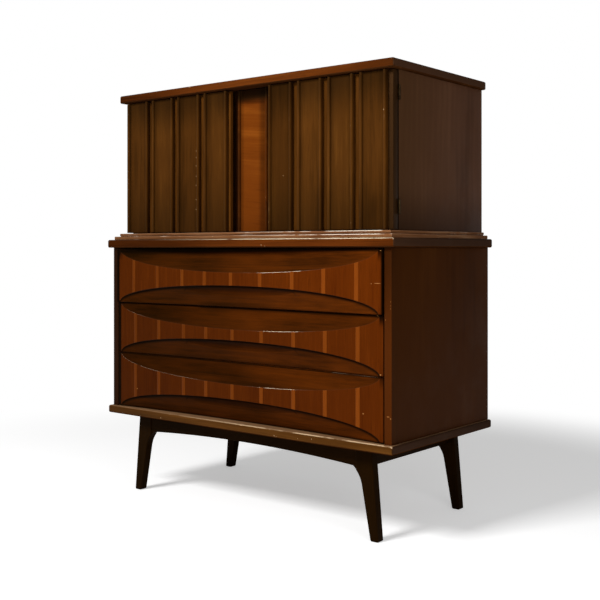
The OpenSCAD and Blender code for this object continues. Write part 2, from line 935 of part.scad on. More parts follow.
module leg_front_right() {
    color(case_colour)
    leg(leg_front_y, 1);
}

module leg_back_left() {
    color(case_colour)
    mirror([1, 0, 0]) {
        leg(leg_back_y, -1);
    }
}

module leg_back_right() {
    color(case_colour)
    leg(leg_back_y, -1);
}

// apron seen from the front: an arched rail with the upper part of a knee at each end
module apron_profile() {
    difference() {
        translate([-leg_in_x, apron_z]) {
            square([2 * leg_in_x, apron_h]);
        }
        translate([0, apron_z + apron_rise - arch_r]) {
            circle(r = arch_r, $fn = long_fn);
        }
    }
    for (side = [0, 1]) {
        mirror([side, 0]) {
            difference() {
                translate([knee_x, apron_z - knee_reach * 2]) {
                    square([knee_reach, knee_reach * 2 + apron_h / 2]);
                }
                knee_disc();
            }
        }
    }
}

// long apron whose outer face is set back from the legs
module long_apron(low_y, tenon_low_y) {
    translate([0, low_y + apron_t, 0]) {
        rotate([90, 0, 0]) {
            linear_extrude(height = apron_t) {
                apron_profile();
            }
        }
    }
    block(
        [-leg_in_x - tenon_len, tenon_low_y, tenon_z],
        [leg_in_x + tenon_len, tenon_low_y + tenon_t, tenon_z + tenon_h]
    );
}

module apron_front() {
    color(case_colour)
    long_apron(leg_front_y + apron_setback, leg_front_y + (leg_d - tenon_t) / 2);
}

module apron_back() {
    color(case_colour)
    long_apron(leg_back_y + leg_d - apron_setback - apron_t, leg_back_y + (leg_d - tenon_t) / 2);
}

module apron_sides() {
    tenon_low_x = side_apron_x - apron_t / 2 - tenon_t / 2;
    color(case_colour)
    for (side = [0, 1]) {
        mirror([side, 0, 0]) {
            block(
                [side_apron_x - apron_t, leg_front_y + leg_d, apron_z],
                [side_apron_x, leg_back_y, slab_z]
            );
            block(
                [tenon_low_x, leg_front_y + leg_d - side_tenon_len, tenon_z],
                [tenon_low_x + tenon_t, leg_back_y + side_tenon_len, tenon_z + tenon_h]
            );
        }
    }
}

// three-cornered block glued inside a front right corner
module corner_block() {
    inner_x = side_apron_x - apron_t;
    inner_y = leg_front_y + leg_d;
    translate([inner_x, inner_y, slab_z - block_h]) {
        linear_extrude(height = block_h) {
            polygon([
                [0, 0],
                [0, block_len],
                [-block_len, 0]
            ]);
        }
    }
}

module corner_blocks() {
    shift_y = leg_back_y + leg_front_y + leg_d;
    color(inner_colour)
    for (side = [0, 1]) {
        mirror([side, 0, 0]) {
            corner_block();
            translate([0, shift_y, 0]) {
                mirror([0, 1, 0]) {
                    corner_block();
                }
            }
        }
    }
}

// backing panel of the right door with its finger rebate
module door_panel(free_x) {
    difference() {
        block([free_x, door_face_y, door_z], [upper_w / 2, door_back_y, door_z + door_h]);
        block(
            [free_x - eps, door_back_y - finger_d, door_z - eps],
            [free_x + finger_w, door_back_y + eps, door_z + door_h + eps]
        );
    }
}

// hinge leaves and strike plate of the right door
module door_fittings(strike_x) {
    for (z = hinge_zs) {
        door_half(z);
    }
    block(
        [strike_x, door_back_y, ceiling_z - catch_h / 2 - strike_h / 2],
        [strike_x + catch_w, door_back_y + strike_t, ceiling_z - catch_h / 2 + strike_h / 2]
    );
}

// board number n of the left door, counted from its hinges
module door_left_board(n) {
    color(door_colour)
    dished_board(-upper_w / 2 + lip_hinge + (n - 1) * (board_left_w + channel_w), board_left_w, door_face_y);
}

// board number n of the right door, counted from its hinges
module door_right_board(n) {
    color(door_colour)
    dished_board(upper_w / 2 - lip_hinge - n * board_right_w - (n - 1) * channel_w, board_right_w, door_face_y);
}

module door_left_panel() {
    color(door_colour)
    mirror([1, 0, 0]) {
        door_panel(-split_left_x);
    }
}

module door_left_board_1() {
    door_left_board(1);
}

module door_left_board_2() {
    door_left_board(2);
}

module door_left_board_3() {
    door_left_board(3);
}

module door_left_board_4() {
    door_left_board(4);
}

module door_left_fittings() {
    color(metal_colour)
    mirror([1, 0, 0]) {
        door_fittings(-catch_left_x - catch_w);
    }
}

module door_right_panel() {
    color(door_colour)
    door_panel(split_right_x);
}

module door_right_board_1() {
    door_right_board(1);
}

module door_right_board_2() {
    door_right_board(2);
}

module door_right_board_3() {
    door_right_board(3);
}

module door_right_board_4() {
    door_right_board(4);
}

module door_right_fittings() {
    color(metal_colour)
    door_fittings(catch_right_x);
}

// the inlay strips aren't spaced quite evenly: how far each one stands to the right of its even place
strip_shifts = [-3, -3, -2, -14, -15, -11, -2, 0, 1];
// inlay strip positions, counted from the middle one
strip_xs = [
    for (i = [0 : strip_count - 1])
        (i - (strip_count - 1) / 2) * strip_pitch + strip_shifts[i]
];

// drawer front without its sockets: a plain board with two leaf scoops and a finger pull in the lower one
module scooped_front(face_y, z, h, low_seam_z, high_seam_z, high_half_h) {
    difference() {
        block([-front_half_w, face_y, z], [front_half_w, face_y + front_t, z + h]);
        leaf_scoop(face_y, low_seam_z, leaf_half_h, -front_half_w, front_half_w);
        leaf_scoop(face_y, high_seam_z, high_half_h, -front_half_w, front_half_w);
        finger_pull(face_y, low_seam_z, -pull_half_w, pull_half_w);
    }
}

// sculpted front with grooves for the strips and the bottom and sockets for the sides
module drawer_front(face_y, z, h, low_seam_z, high_seam_z, high_half_h, box_z, box_h) {
    inner_y = face_y + front_t;
    groove_z = box_z + bottom_raise;
    color(front_colour)
    difference() {
        scooped_front(face_y, z, h, low_seam_z, high_seam_z, high_half_h);
        for (x = strip_xs) {
            block(
                [x - strip_w / 2 - fit_gap, face_y - eps, z - eps],
                [x + strip_w / 2 + fit_gap, face_y + strip_d, z + h + eps]
            );
        }
        for (side = [0, 1]) {
            mirror([side, 0, 0]) {
                block(
                    [box_in_x - fit_gap, inner_y - side_socket - fit_gap, box_z - fit_gap],
                    [box_out_x + fit_gap, inner_y + eps, box_z + box_h + fit_gap]
                );
            }
        }
        block(
            [-box_in_x - eps, inner_y - bottom_groove - fit_gap, groove_z - fit_gap],
            [box_in_x + eps, inner_y + eps, groove_z + bottom_t + fit_gap]
        );
    }
}

// inlay strips, each cut by its own stretch of the same scoops
module drawer_strips(face_y, z, h, low_seam_z, high_seam_z, high_half_h) {
    color(strip_colour)
    for (x = strip_xs) {
        difference() {
            block([x - strip_w / 2, face_y - strip_proud, z], [x + strip_w / 2, face_y + strip_d, z + h]);
            leaf_scoop(face_y, low_seam_z, leaf_half_h, x - strip_w, x + strip_w);
            leaf_scoop(face_y, high_seam_z, high_half_h, x - strip_w, x + strip_w);
            if (abs(x) < pull_half_w - strip_w) {
                finger_pull(face_y, low_seam_z, x - strip_w, x + strip_w);
            }
        }
    }
}

// right side of a drawer box with the groove for the bottom and the socket for the back
module drawer_side(shift_y, z, h) {
    front = case_front_y + front_t - side_socket + shift_y;
    groove_z = z + bottom_raise;
    color(inner_colour)
    difference() {
        block([box_in_x, front, z], [box_out_x, box_end_y + shift_y, z + h]);
        block(
            [box_in_x - eps, front - eps, groove_z - fit_gap],
            [box_in_x + bottom_groove + fit_gap, box_end_y + shift_y + eps, groove_z + bottom_t + fit_gap]
        );
        block(
            [box_in_x - eps, box_back_y + shift_y - fit_gap, groove_z + bottom_t - fit_gap],
            [box_in_x + back_socket + fit_gap, box_back_y + box_t + shift_y + fit_gap, z + h + eps]
        );
    }
}

// drawer back standing on the bottom between the sides
module drawer_back(shift_y, z, h) {
    color(inner_colour)
    block(
        [-box_in_x - back_socket, box_back_y + shift_y, z + bottom_raise + bottom_t],
        [box_in_x + back_socket, box_back_y + box_t + shift_y, z + h]
    );
}

// drawer bottom in the grooves of the front and the sides
module drawer_bottom(shift_y, z) {
    front = case_front_y + front_t - bottom_groove + shift_y;
    color(inner_colour)
    block(
        [-box_in_x - bottom_groove, front, z + bottom_raise],
        [box_in_x + bottom_groove, box_back_y + box_t + shift_y, z + bottom_raise + bottom_t]
    );
}

face_1_y = case_front_y - drawer_1_open;

module drawer_1_front() {
    drawer_front(
        face_1_y, drawer_1_z, drawer_1_h, seam_21_z, seam_top_z, top_leaf_half_h, box_1_z, box_1_h
    );
}

module drawer_1_strips() {
    drawer_strips(face_1_y, drawer_1_z, drawer_1_h, seam_21_z, seam_top_z, top_leaf_half_h);
}

module drawer_1_side_left() {
    mirror([1, 0, 0]) {
        drawer_side(-drawer_1_open, box_1_z, box_1_h);
    }
}

module drawer_1_side_right() {
    drawer_side(-drawer_1_open, box_1_z, box_1_h);
}

module drawer_1_back() {
    drawer_back(-drawer_1_open, box_1_z, box_1_h);
}

module drawer_1_bottom() {
    drawer_bottom(-drawer_1_open, box_1_z);
}

module drawer_2_front() {
    drawer_front(
        case_front_y, drawer_2_z, drawer_2_h, seam_32_z, seam_21_z, leaf_half_h, box_2_z, box_2_h
    );
}

module drawer_2_strips() {
    drawer_strips(case_front_y, drawer_2_z, drawer_2_h, seam_32_z, seam_21_z, leaf_half_h);
}

module drawer_2_side_left() {
    mirror([1, 0, 0]) {
        drawer_side(0, box_2_z, box_2_h);
    }
}

module drawer_2_side_right() {
    drawer_side(0, box_2_z, box_2_h);
}

module drawer_2_back() {
    drawer_back(0, box_2_z, box_2_h);
}

module drawer_2_bottom() {
    drawer_bottom(0, box_2_z);
}

module drawer_3_front() {
    drawer_front(
        case_front_y, drawer_3_z, drawer_3_h, seam_low_z, seam_32_z, leaf_half_h, box_3_z, box_3_h
    );
}

module drawer_3_strips() {
    drawer_strips(case_front_y, drawer_3_z, drawer_3_h, seam_low_z, seam_32_z, leaf_half_h);
}

module drawer_3_side_left() {
    mirror([1, 0, 0]) {
        drawer_side(0, box_3_z, box_3_h);
    }
}

module drawer_3_side_right() {
    drawer_side(0, box_3_z, box_3_h);
}

module drawer_3_back() {
    drawer_back(0, box_3_z, box_3_h);
}

module drawer_3_bottom() {
    drawer_bottom(0, box_3_z);
}

top_slab();
upper_side_left();
upper_side_right();
upper_top_board();
upper_floor();
upper_back_panel();
centre_stile();
centre_board();
centre_partition();
shelf_left();
shelf_right();
shelf_pins();
hinge_case_leaves();
door_catches();
waist_moulding();
waist_band();
lower_side_left();
lower_side_right();
lower_back_panel();
drawer_rails();
drawer_runners();
bottom_slab();
apron_front();
apron_back();
apron_sides();
corner_blocks();
leg_front_left();
leg_front_right();
leg_back_left();
leg_back_right();
door_left_panel();
door_left_board_1();
door_left_board_2();
door_left_board_3();
door_left_board_4();
door_left_fittings();
door_right_panel();
door_right_board_1();
door_right_board_2();
door_right_board_3();
door_right_board_4();
door_right_fittings();
drawer_1_front();
drawer_1_strips();
drawer_1_side_left();
drawer_1_side_right();
drawer_1_back();
drawer_1_bottom();
drawer_2_front();
drawer_2_strips();
drawer_2_side_left();
drawer_2_side_right();
drawer_2_back();
drawer_2_bottom();
drawer_3_front();
drawer_3_strips();
drawer_3_side_left();
drawer_3_side_right();
drawer_3_back();
drawer_3_bottom();
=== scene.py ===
import bpy
import bmesh
import random
from math import atan, atan2, cos, exp, hypot, pi, radians, sin, sqrt, tan
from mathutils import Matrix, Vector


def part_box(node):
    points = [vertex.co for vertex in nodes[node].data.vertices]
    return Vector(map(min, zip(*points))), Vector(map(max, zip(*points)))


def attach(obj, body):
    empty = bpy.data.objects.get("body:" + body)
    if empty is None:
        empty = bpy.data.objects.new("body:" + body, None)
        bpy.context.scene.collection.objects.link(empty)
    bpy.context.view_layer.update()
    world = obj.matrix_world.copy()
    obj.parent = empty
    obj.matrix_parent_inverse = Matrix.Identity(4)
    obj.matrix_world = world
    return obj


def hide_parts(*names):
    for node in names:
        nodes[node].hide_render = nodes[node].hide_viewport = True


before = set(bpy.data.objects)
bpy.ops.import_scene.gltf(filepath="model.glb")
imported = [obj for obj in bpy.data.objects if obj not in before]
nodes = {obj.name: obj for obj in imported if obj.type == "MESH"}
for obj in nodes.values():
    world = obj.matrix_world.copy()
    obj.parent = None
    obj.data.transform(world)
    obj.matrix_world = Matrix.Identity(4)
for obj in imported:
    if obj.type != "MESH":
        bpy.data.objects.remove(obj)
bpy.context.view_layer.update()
mm = 0.001


# Colours and numbers

def srgb(*levels):  # colour as it looks, given as red, green and blue up to 255
    parts = [level / 255 for level in levels]
    return tuple(part / 12.92 if part < 0.04045 else ((part + 0.055) / 1.055) ** 2.4 for part in parts) + (1,)


def spread(count):  # steps from -1 to 1 that close up towards both ends
    return [sin(pi / 2 * (2 * i / count - 1)) for i in range(count + 1)]


def share(value):
    return min(1.0, max(0.0, value))


# Node helpers

def link(source, target):
    source.id_data.links.new(source, target)


def isSocket(value):
    return isinstance(value, bpy.types.NodeSocket)


def fillIn(node, values):  # plain values are set, outputs of other nodes are linked
    for label, value in values.items():
        if isSocket(value):
            link(value, node.inputs[label])
        else:
            node.inputs[label].default_value = value


def setAll(owner, settings):
    for name, setting in settings.items():
        setattr(owner, name, setting)


def newNode(tree, kind, values, **settings):
    node = tree.nodes.new(kind)
    setAll(node, settings)
    fillIn(node, values)
    return node.outputs


def mathNode(kind, first, second=0.0, clamp=False):
    tree = (first if isSocket(first) else second).id_data
    return newNode(tree, "ShaderNodeMath", {0: first, 1: second}, operation=kind, use_clamp=clamp)[0]


def mathOf(kind):
    return lambda *values: mathNode(kind, *values)


times, plus, minus, larger = [mathOf(kind) for kind in ("MULTIPLY", "ADD", "SUBTRACT", "MAXIMUM")]


def ramp(value, low, high, toLow=0.0, toHigh=1.0):
    limits = {"Value": value, "From Min": low, "From Max": high, "To Min": toLow, "To Max": toHigh}
    return newNode(value.id_data, "ShaderNodeMapRange", limits, interpolation_type="SMOOTHSTEP")["Result"]


def noise(vector, scale, detail, roughness=0.5):
    values = {"Vector": vector, "Scale": scale, "Detail": detail, "Roughness": roughness}
    return newNode(vector.id_data, "ShaderNodeTexNoise", values)["Fac"]


def stretch(vector, factors, shift=(0, 0, 0), turn=(0, 0, 0)):
    turned = [radians(angle) for angle in turn]
    values = {"Vector": vector, "Scale": factors, "Location": shift, "Rotation": turned}
    return newNode(vector.id_data, "ShaderNodeMapping", values)["Vector"]


def mix(factor, first, second, blend="MIX"):
    tree = (factor if isSocket(factor) else first).id_data
    values = {0: factor, 6: first, 7: second}
    return newNode(tree, "ShaderNodeMix", values, data_type="RGBA", blend_type=blend)[2]


def axes(vector):
    return newNode(vector.id_data, "ShaderNodeSeparateXYZ", {0: vector})


def lengthOf(vector):
    return newNode(vector.id_data, "ShaderNodeVectorMath", {0: vector}, operation="LENGTH")["Value"]


def attribute(tree, name):
    return newNode(tree, "ShaderNodeAttribute", {}, attribute_name=name)["Fac"]


def coordsOf(tree, kind="Object"):
    return newNode(tree, "ShaderNodeTexCoord", {})[kind]


def placeGroup(tree, group, values):
    return newNode(tree, "ShaderNodeGroup", values, node_tree=group)


def bumped(shader, height, strength, distance):
    values = {"Height": height, "Strength": strength, "Distance": distance}
    link(newNode(height.id_data, "ShaderNodeBump", values)["Normal"], shader.inputs["Normal"])


def newMaterial(name):
    material = bpy.data.materials.new(name)
    material.use_nodes = True
    return material, material.node_tree, material.node_tree.nodes["Principled BSDF"]


# New node group; an input without a value is a vector
def newGroup(name, inputs, outputs):
    group = bpy.data.node_groups.new(name, "ShaderNodeTree")
    for label, value in inputs.items():
        kind = "NodeSocketVector" if value is None else "NodeSocketFloat"
        socket = group.interface.new_socket(name=label, in_out="INPUT", socket_type=kind)
        if value is not None:
            socket.default_value = value
    for label in outputs:
        group.interface.new_socket(name=label, in_out="OUTPUT", socket_type="NodeSocketFloat")
    given = group.nodes.new("NodeGroupInput").outputs
    return group, given, group.nodes.new("NodeGroupOutput").inputs


# Grain of sawn and oiled hardwood, running along Z of the vector that comes in
def grainGroup():
    group, given, result = newGroup("Timber grain", {
        "Vector": None, "Streak Scale": 110.0, "Streak Amount": 0.8,
        "Figure Scale": 9.0, "Figure Amount": 0.5, "Pore Amount": 0.5,
    }, ("Tone", "Pores", "Height"))
    vector = given["Vector"]
    longer = stretch(vector, (1, 1, 0.018))
    streaks = noise(stretch(vector, (1, 1, 0.05)), given["Streak Scale"], 5, 0.62)
    fibres = noise(longer, times(given["Streak Scale"], 4.2), 3, 0.6)
    patches = noise(stretch(vector, (1, 1, 0.3)), given["Figure Scale"], 3, 0.55)
    rings = newNode(group, "ShaderNodeTexWave", {  # year rings cut at a slant give the arches
        "Vector": stretch(vector, (1, 1, 0.16), (0.031, 0.052, 0), (5, 3, 0)),
        "Distortion": 5.5, "Detail": 2.0, "Detail Scale": 1.4, "Scale": 15.0,
    }, wave_type="RINGS", rings_direction="Z")
    ringPart = times(minus(rings["Fac"], 0.5), 0.12)
    patchPart = times(minus(patches, 0.5), 1.7)
    figure = times(plus(ringPart, patchPart), given["Figure Amount"])
    lines = plus(times(streaks, 1.2), times(fibres, 0.9))
    lines = times(minus(lines, 1.05), given["Streak Amount"])
    link(plus(0.5, plus(figure, lines), True), result["Tone"])
    pores = ramp(noise(longer, 1450.0, 1), 0.60, 0.70)
    pores = times(pores, ramp(streaks, 0.35, 0.6))
    pores = times(pores, given["Pore Amount"])
    link(pores, result["Pores"])
    link(minus(times(fibres, 0.5), pores), result["Height"])
    return group


# Worn arrises: a mask from the edge attribute, broken up by patches and by small chips
def wearGroup():
    group, given, result = newGroup(
        "Edge wear", {"Vector": None, "Edge": 0.0, "Amount": 0.5, "Patch Scale": 14.0}, ("Rubbed", "Chipped"),
    )
    edge, amount, scale = given["Edge"], given["Amount"], given["Patch Scale"]
    patches = noise(given["Vector"], scale, 4, 0.6)
    limit = minus(0.78, times(amount, 0.5))
    rubbed = ramp(patches, limit, plus(limit, 0.22), 0.05, 1.0)
    near = ramp(edge, 0.15, 0.85)
    rubbed = times(times(rubbed, near), ramp(amount, 0, 0.5))
    bare = ramp(patches, 0.36, 0.5)  # bare wood where the edge value passes 1
    bare = times(bare, ramp(edge, 1.05, 1.7, 0.0, 1.3))
    link(larger(rubbed, bare), result["Rubbed"])
    chips = noise(given["Vector"], times(scale, 11), 2)
    chipLimit = minus(0.78, times(amount, 0.12))
    chips = ramp(chips, chipLimit, plus(chipLimit, 0.03))
    link(times(chips, near, True), result["Chipped"])
    return group


# Hand marks: soft clouds that vary the sheen
def handlingGroup():
    group, given, result = newGroup("Handling", {"Vector": None, "Cloud Scale": 7.0}, ("Smudge",))
    clouds = noise(given["Vector"], given["Cloud Scale"], 4, 0.6)
    link(ramp(clouds, 0.3, 0.7), result["Smudge"])
    return group


grain = grainGroup()
wear = wearGroup()
handling = handlingGroup()

# What a user may change about each finish: colours as they look, grain direction, sheen and wear
usual = {
    "along": "Z", "streakAmount": 0.6, "figureScale": 7.0, "figure": 0.6, "pores": 0.4, "wear": 0.2,
    "roughness": 0.46, "sheen": (255, 176, 96), "specular": 0.08, "bump": 0.2, "grimeAndShade": 0.5,
}
finishes = {
    "case": {
        "deep": (44, 20, 8), "main": (60, 30, 12), "pale": (76, 42, 18), "worn": (140, 100, 66),
        "pore": (16, 7, 3), "streak": 95.0, "streakAmount": 0.5, "figureScale": 8.0, "wear": 0.12,
        "roughness": 0.42, "specular": 0.07, "grimeAndShade": 0.6,
    },
    "side": {
        "deep": (62, 37, 21), "main": (84, 53, 33), "pale": (102, 67, 43), "worn": (130, 100, 74),
        "pore": (24, 14, 8), "streak": 60.0, "streakAmount": 0.16, "figureScale": 5.0, "figure": 0.7,
        "pores": 0.2, "wear": 0.1, "sheen": (255, 190, 130), "specular": 0.06, "bump": 0.1,
    },
    "lower": {
        "deep": (54, 26, 7), "main": (68, 34, 10), "pale": (82, 44, 15), "worn": (130, 92, 60),
        "pore": (20, 9, 3), "streak": 60.0, "streakAmount": 0.3, "figureScale": 5.0, "figure": 0.7,
        "pores": 0.3, "wear": 0.1, "specular": 0.05, "bump": 0.15,
    },
    "slab": {
        "deep": (84, 38, 8), "main": (112, 54, 14), "pale": (136, 70, 22), "worn": (206, 172, 136),
        "pore": (32, 12, 3), "along": "X", "streak": 85.0, "streakAmount": 0.7, "roughness": 0.38,
    },
    "raw": {
        "deep": (50, 26, 10), "main": (64, 34, 14), "pale": (80, 46, 20), "worn": (130, 92, 60),
        "pore": (20, 9, 3), "along": "X", "streak": 85.0, "wear": 0.1, "roughness": 0.75,
        "sheen": (255, 255, 255), "specular": 0.0,
    },
    "moulding": {
        "deep": (112, 62, 28), "main": (150, 98, 58), "pale": (182, 134, 94), "worn": (238, 220, 198),
        "pore": (60, 30, 14), "along": "X", "streak": 120.0, "streakAmount": 1.0, "figureScale": 9.0,
        "figure": 0.9, "pores": 0.5, "wear": 0.5, "roughness": 0.42, "sheen": (255, 196, 140), "bump": 0.25,
        "grimeAndShade": 0.6,
    },
    "front": {
        "deep": (90, 35, 3), "main": (110, 47, 5), "pale": (130, 59, 9), "worn": (238, 218, 190),
        "pore": (22, 7, 1), "streak": 150.0, "streakAmount": 0.7, "figureScale": 10.0, "figure": 0.5,
        "wear": 0.12, "specular": 0.04, "grimeAndShade": 0.9,
    },
    "strip": {
        "deep": (116, 54, 9), "main": (140, 68, 15), "pale": (162, 86, 25), "worn": (206, 160, 112),
        "pore": (44, 18, 5), "streak": 170.0, "figureScale": 12.0, "figure": 0.4, "pores": 0.3, "wear": 0.3,
        "roughness": 0.40, "bump": 0.18, "grimeAndShade": 0.3,
    },
    "door": {
        "deep": (60, 33, 7), "main": (79, 45, 12), "pale": (97, 58, 18), "worn": (190, 150, 104),
        "pore": (24, 12, 3), "streak": 130.0, "figureScale": 11.0, "figure": 0.8, "wear": 0.3,
        "roughness": 0.42, "grimeAndShade": 0.75,
    },
    "figured": {
        "deep": (96, 42, 5), "main": (132, 64, 12), "pale": (156, 82, 20), "worn": (214, 168, 116),
        "pore": (30, 12, 3), "along": "curl", "streak": 45.0, "streakAmount": 0.65, "figureScale": 9.0,
        "figure": 0.8, "pores": 0.2, "roughness": 0.38, "specular": 0.14, "bump": 0.12, "grimeAndShade": 0.7,
    },
    "inner": {
        "deep": (104, 76, 46), "main": (130, 98, 62), "pale": (152, 120, 80), "worn": (176, 146, 108),
        "pore": (70, 46, 24), "along": "Y", "streak": 90.0, "streakAmount": 0.7, "roughness": 0.55,
        "specular": 0.14, "grimeAndShade": 0.3,
    },
    "leg": {
        "deep": (18, 9, 1), "main": (29, 15, 2), "pale": (41, 22, 5), "worn": (110, 76, 46),
        "pore": (10, 4, 1), "streak": 110.0, "figureScale": 8.0, "figure": 0.5, "pores": 0.5, "wear": 0.1,
        "specular": 0.03, "grimeAndShade": 0.4,
    },
}
finishes["band"] = {**finishes["slab"], "worn": (248, 228, 190), "specular": 0.05}
finishes["sill"] = {
    **finishes["slab"], "deep": (70, 42, 12), "main": (94, 56, 18), "pale": (116, 72, 27),
    "worn": (214, 184, 146), "pore": (32, 14, 4), "wear": 0.3,
}
turns = {"Z": (0, 0, 0), "X": (0, 90, 0), "Y": (90, 0, 0), "curl": (0, 84, 0)}


# Painted shade makes the wood darker towards the left end, and where a lower level is given it also darkens
# towards the right end; a painted highlight makes the top face paler
def shadeAlong(low, high, least, litAbove=None, rightLeast=1.0, chips=()):
    def shade(coords, placed, colour, toned):
        at = axes(coords)
        level = ramp(at["X"], low, high, least, 1.0)
        if rightLeast < 1:
            level = times(level, ramp(at["X"], 0.28, 0.49, 1.0, rightLeast))
        grey = newNode(coords.id_data, "ShaderNodeCombineColor", {0: level, 1: level, 2: level})[0]
        colour = mix(1.0, colour, grey, "MULTIPLY")
        colour = chipSpots(coords, colour, chips)
        if litAbove:
            # Painted highlight on the top face
            litTop = ramp(at["Z"], litAbove - 0.001, litAbove, 0.0, 0.6)
            colour = mix(litTop, colour, srgb(168, 128, 92))
        return colour
    return shade


# Small chips of bare wood, each given as (x, z, radius, length over height) in mm on the front
def chipSpots(coords, colour, spots, tint=(206, 168, 126)):
    for x, z, radius, longer in spots:
        reach = lengthOf(stretch(coords, (1 / longer, 0, 1), (-x * mm / longer, 0, -z * mm)))
        mask = ramp(reach, radius * mm, radius * mm * 0.55)
        colour = mix(times(mask, 0.85), colour, srgb(*tint))
    return colour


# One wood material; seed moves the grain so that no two boards carry on from each other
def woodMaterial(name, finish, seed, tone=1.0, along=None, dark=None):
    look = {**usual, **finishes[finish]}
    rng = random.Random(seed)
    material, tree, shader = newMaterial(name)
    coords = coordsOf(tree)
    shift = [rng.uniform(-2, 2) for axis in range(3)]
    placed = stretch(coords, (1, 1, 1), shift, turns[along or look["along"]])
    timber = placeGroup(tree, grain, {
        "Vector": placed, "Streak Scale": look["streak"], "Streak Amount": look["streakAmount"],
        "Figure Scale": look["figureScale"], "Figure Amount": look["figure"], "Pore Amount": look["pores"],
    })
    rub = placeGroup(tree, wear, {"Vector": coords, "Edge": attribute(tree, "edge"), "Amount": look["wear"]})
    smudge = placeGroup(tree, handling, {"Vector": placed})["Smudge"]

    def toned(key):
        return tuple(part * tone for part in srgb(*look[key])[:3]) + (1,)

    colour = mix(ramp(timber["Tone"], 0.1, 0.5), toned("deep"), toned("main"))
    colour = mix(ramp(timber["Tone"], 0.5, 0.9), colour, toned("pale"))
    colour = mix(timber["Pores"], colour, toned("pore"))
    # Grime and painted shade: creases, coves, gaps and parts under overhangs darken towards the pore colour
    grimeAndShadeMask = times(attribute(tree, "grimeAndShade"), ramp(smudge, 0, 1, 0.7, 1.0))
    colour = mix(times(grimeAndShadeMask, look["grimeAndShade"]), colour, toned("pore"))
    if dark:
        colour = dark(coords, placed, colour, toned)
    # Rubbed arrises and chips show pale worn wood; on the slab, band and moulding edges this also paints a
    # highlight
    colour = mix(times(rub["Rubbed"], 0.75, True), colour, srgb(*look["worn"]))
    colour = mix(times(rub["Chipped"], 0.8), colour, srgb(*look["worn"]))
    rough = ramp(smudge, 0, 1, look["roughness"] - 0.05, look["roughness"] + 0.07)
    fillIn(shader, {
        "Base Color": colour, "Roughness": plus(rough, times(rub["Rubbed"], 0.15), True),
        "Specular IOR Level": look["specular"], "Specular Tint": srgb(*look["sheen"]),
    })
    bumped(shader, minus(timber["Height"], times(rub["Chipped"], 1.5)), look["bump"], 0.0006)
    return material


# Aged brass with brown tarnish and fine brushing
def brassMaterial():
    material, tree, shader = newMaterial("Aged brass")
    coords = coordsOf(tree)
    smudge = placeGroup(tree, handling, {"Vector": coords, "Cloud Scale": 60.0})["Smudge"]
    brushing = noise(stretch(coords, (1, 1, 0.04)), 900.0, 2)
    colour = mix(smudge, srgb(44, 33, 20), srgb(82, 63, 38))
    colour = mix(times(brushing, 0.35), colour, srgb(58, 38, 20))
    fillIn(shader, {"Base Color": colour, "Metallic": 1.0, "Roughness": ramp(smudge, 0, 1, 0.6, 0.42)})
    bumped(shader, brushing, 0.2, 0.0003)
    return material


# Mesh helpers

def newObject(name, data):
    made = bpy.data.objects.new(name, data)
    bpy.context.scene.collection.objects.link(made)
    return made


def closePiece(name, bm, body, replaced, material):
    mesh = bpy.data.meshes.new(name)
    bm.to_mesh(mesh)
    bm.free()
    piece = newObject(name, mesh)
    mesh.materials.append(material)
    mesh.shade_smooth()
    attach(piece, body)
    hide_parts(*replaced)
    return piece


# Board cut from a flat outline, given as (a, b, edge, grimeAndShade) points in mm, with its sharp edges eased
def easedBoard(
    name, outline, axis, low, high, ease, body, slot, replaced, material, segments=3, sharp=28, wearAndHighlightAt=None,
):
    order = {"x": (2, 0, 1), "y": (0, 2, 1), "z": (0, 1, 2)}[axis]
    bm = bmesh.new()
    edgeLayer = bm.loops.layers.float.new("edge")
    grimeShadeLayer = bm.loops.layers.float.new("grimeAndShade")
    outline = [tuple(point) + (0, 0, 0, 0)[len(point):] for point in outline]

    def cornersAt(level):
        return [bm.verts.new([(*point[:2], level)[i] * mm for i in order]) for point in outline]

    starts, ends = cornersAt(low), cornersAt(high)
    bm.faces.new(starts)
    bm.faces.new(list(reversed(ends)))
    for i in range(len(outline)):
        j = (i + 1) % len(outline)
        side = bm.faces.new((starts[i], ends[i], ends[j], starts[j]))
        for loop, point in zip(side.loops, (outline[i], outline[i], outline[j], outline[j])):
            loop[edgeLayer] = point[2]
            loop[grimeShadeLayer] = point[3]
    bmesh.ops.recalc_face_normals(bm, faces=bm.faces)
    keen = [e for e in bm.edges if e.calc_face_angle(0) > radians(sharp)]
    made = bmesh.ops.bevel(
        bm, geom=keen, offset=ease * mm, offset_type="OFFSET", segments=segments,
        profile=0.5, affect="EDGES", clamp_overlap=True,
    )
    for face in made["faces"]:
        slant = 1.0
        if ease > 2:  # only the middle of a wide rounding is rubbed
            slant = share((0.96 - max(abs(face.normal.x), abs(face.normal.y), -face.normal.z)) / 0.2)
        for loop in face.loops:
            loop[edgeLayer] = slant * (wearAndHighlightAt(loop.vert.co / mm, face.normal) if wearAndHighlightAt else 1.0)
    piece = closePiece(name, bm, body, replaced, material)
    setAll(piece.modifiers.new("Even faces", "WEIGHTED_NORMAL"), {"keep_sharp": True, "weight": 60})
    return piece


# The returns at both ends have their own timber, with the grain running back
def returnWood(piece, material, under=None):
    piece.data.materials.append(material)
    if under:
        piece.data.materials.append(under)
    for face in piece.data.polygons:
        if abs(face.normal.x) > max(abs(face.normal.y), 0.25):
            face.material_index = 1
        if under and face.normal.z < -0.4:
            face.material_index = 2


def rectangle(lowA, lowB, highA, highB):
    return [(lowA, lowB), (highA, lowB), (highA, highB), (lowA, highB)]


# Board that fills the box of a node, or reaches a little above it
def boardOf(node, box, ease, slot, material, segments, wearAndHighlightAt=None, taller=0.0):
    low, high = box
    outline = rectangle(low.y / mm, low.z / mm, high.y / mm, high.z / mm + taller)
    return easedBoard(
        node + "_wood", outline, "x", low.x / mm, high.x / mm, ease,
        "case", slot, [node], material, segments, 28, wearAndHighlightAt,
    )


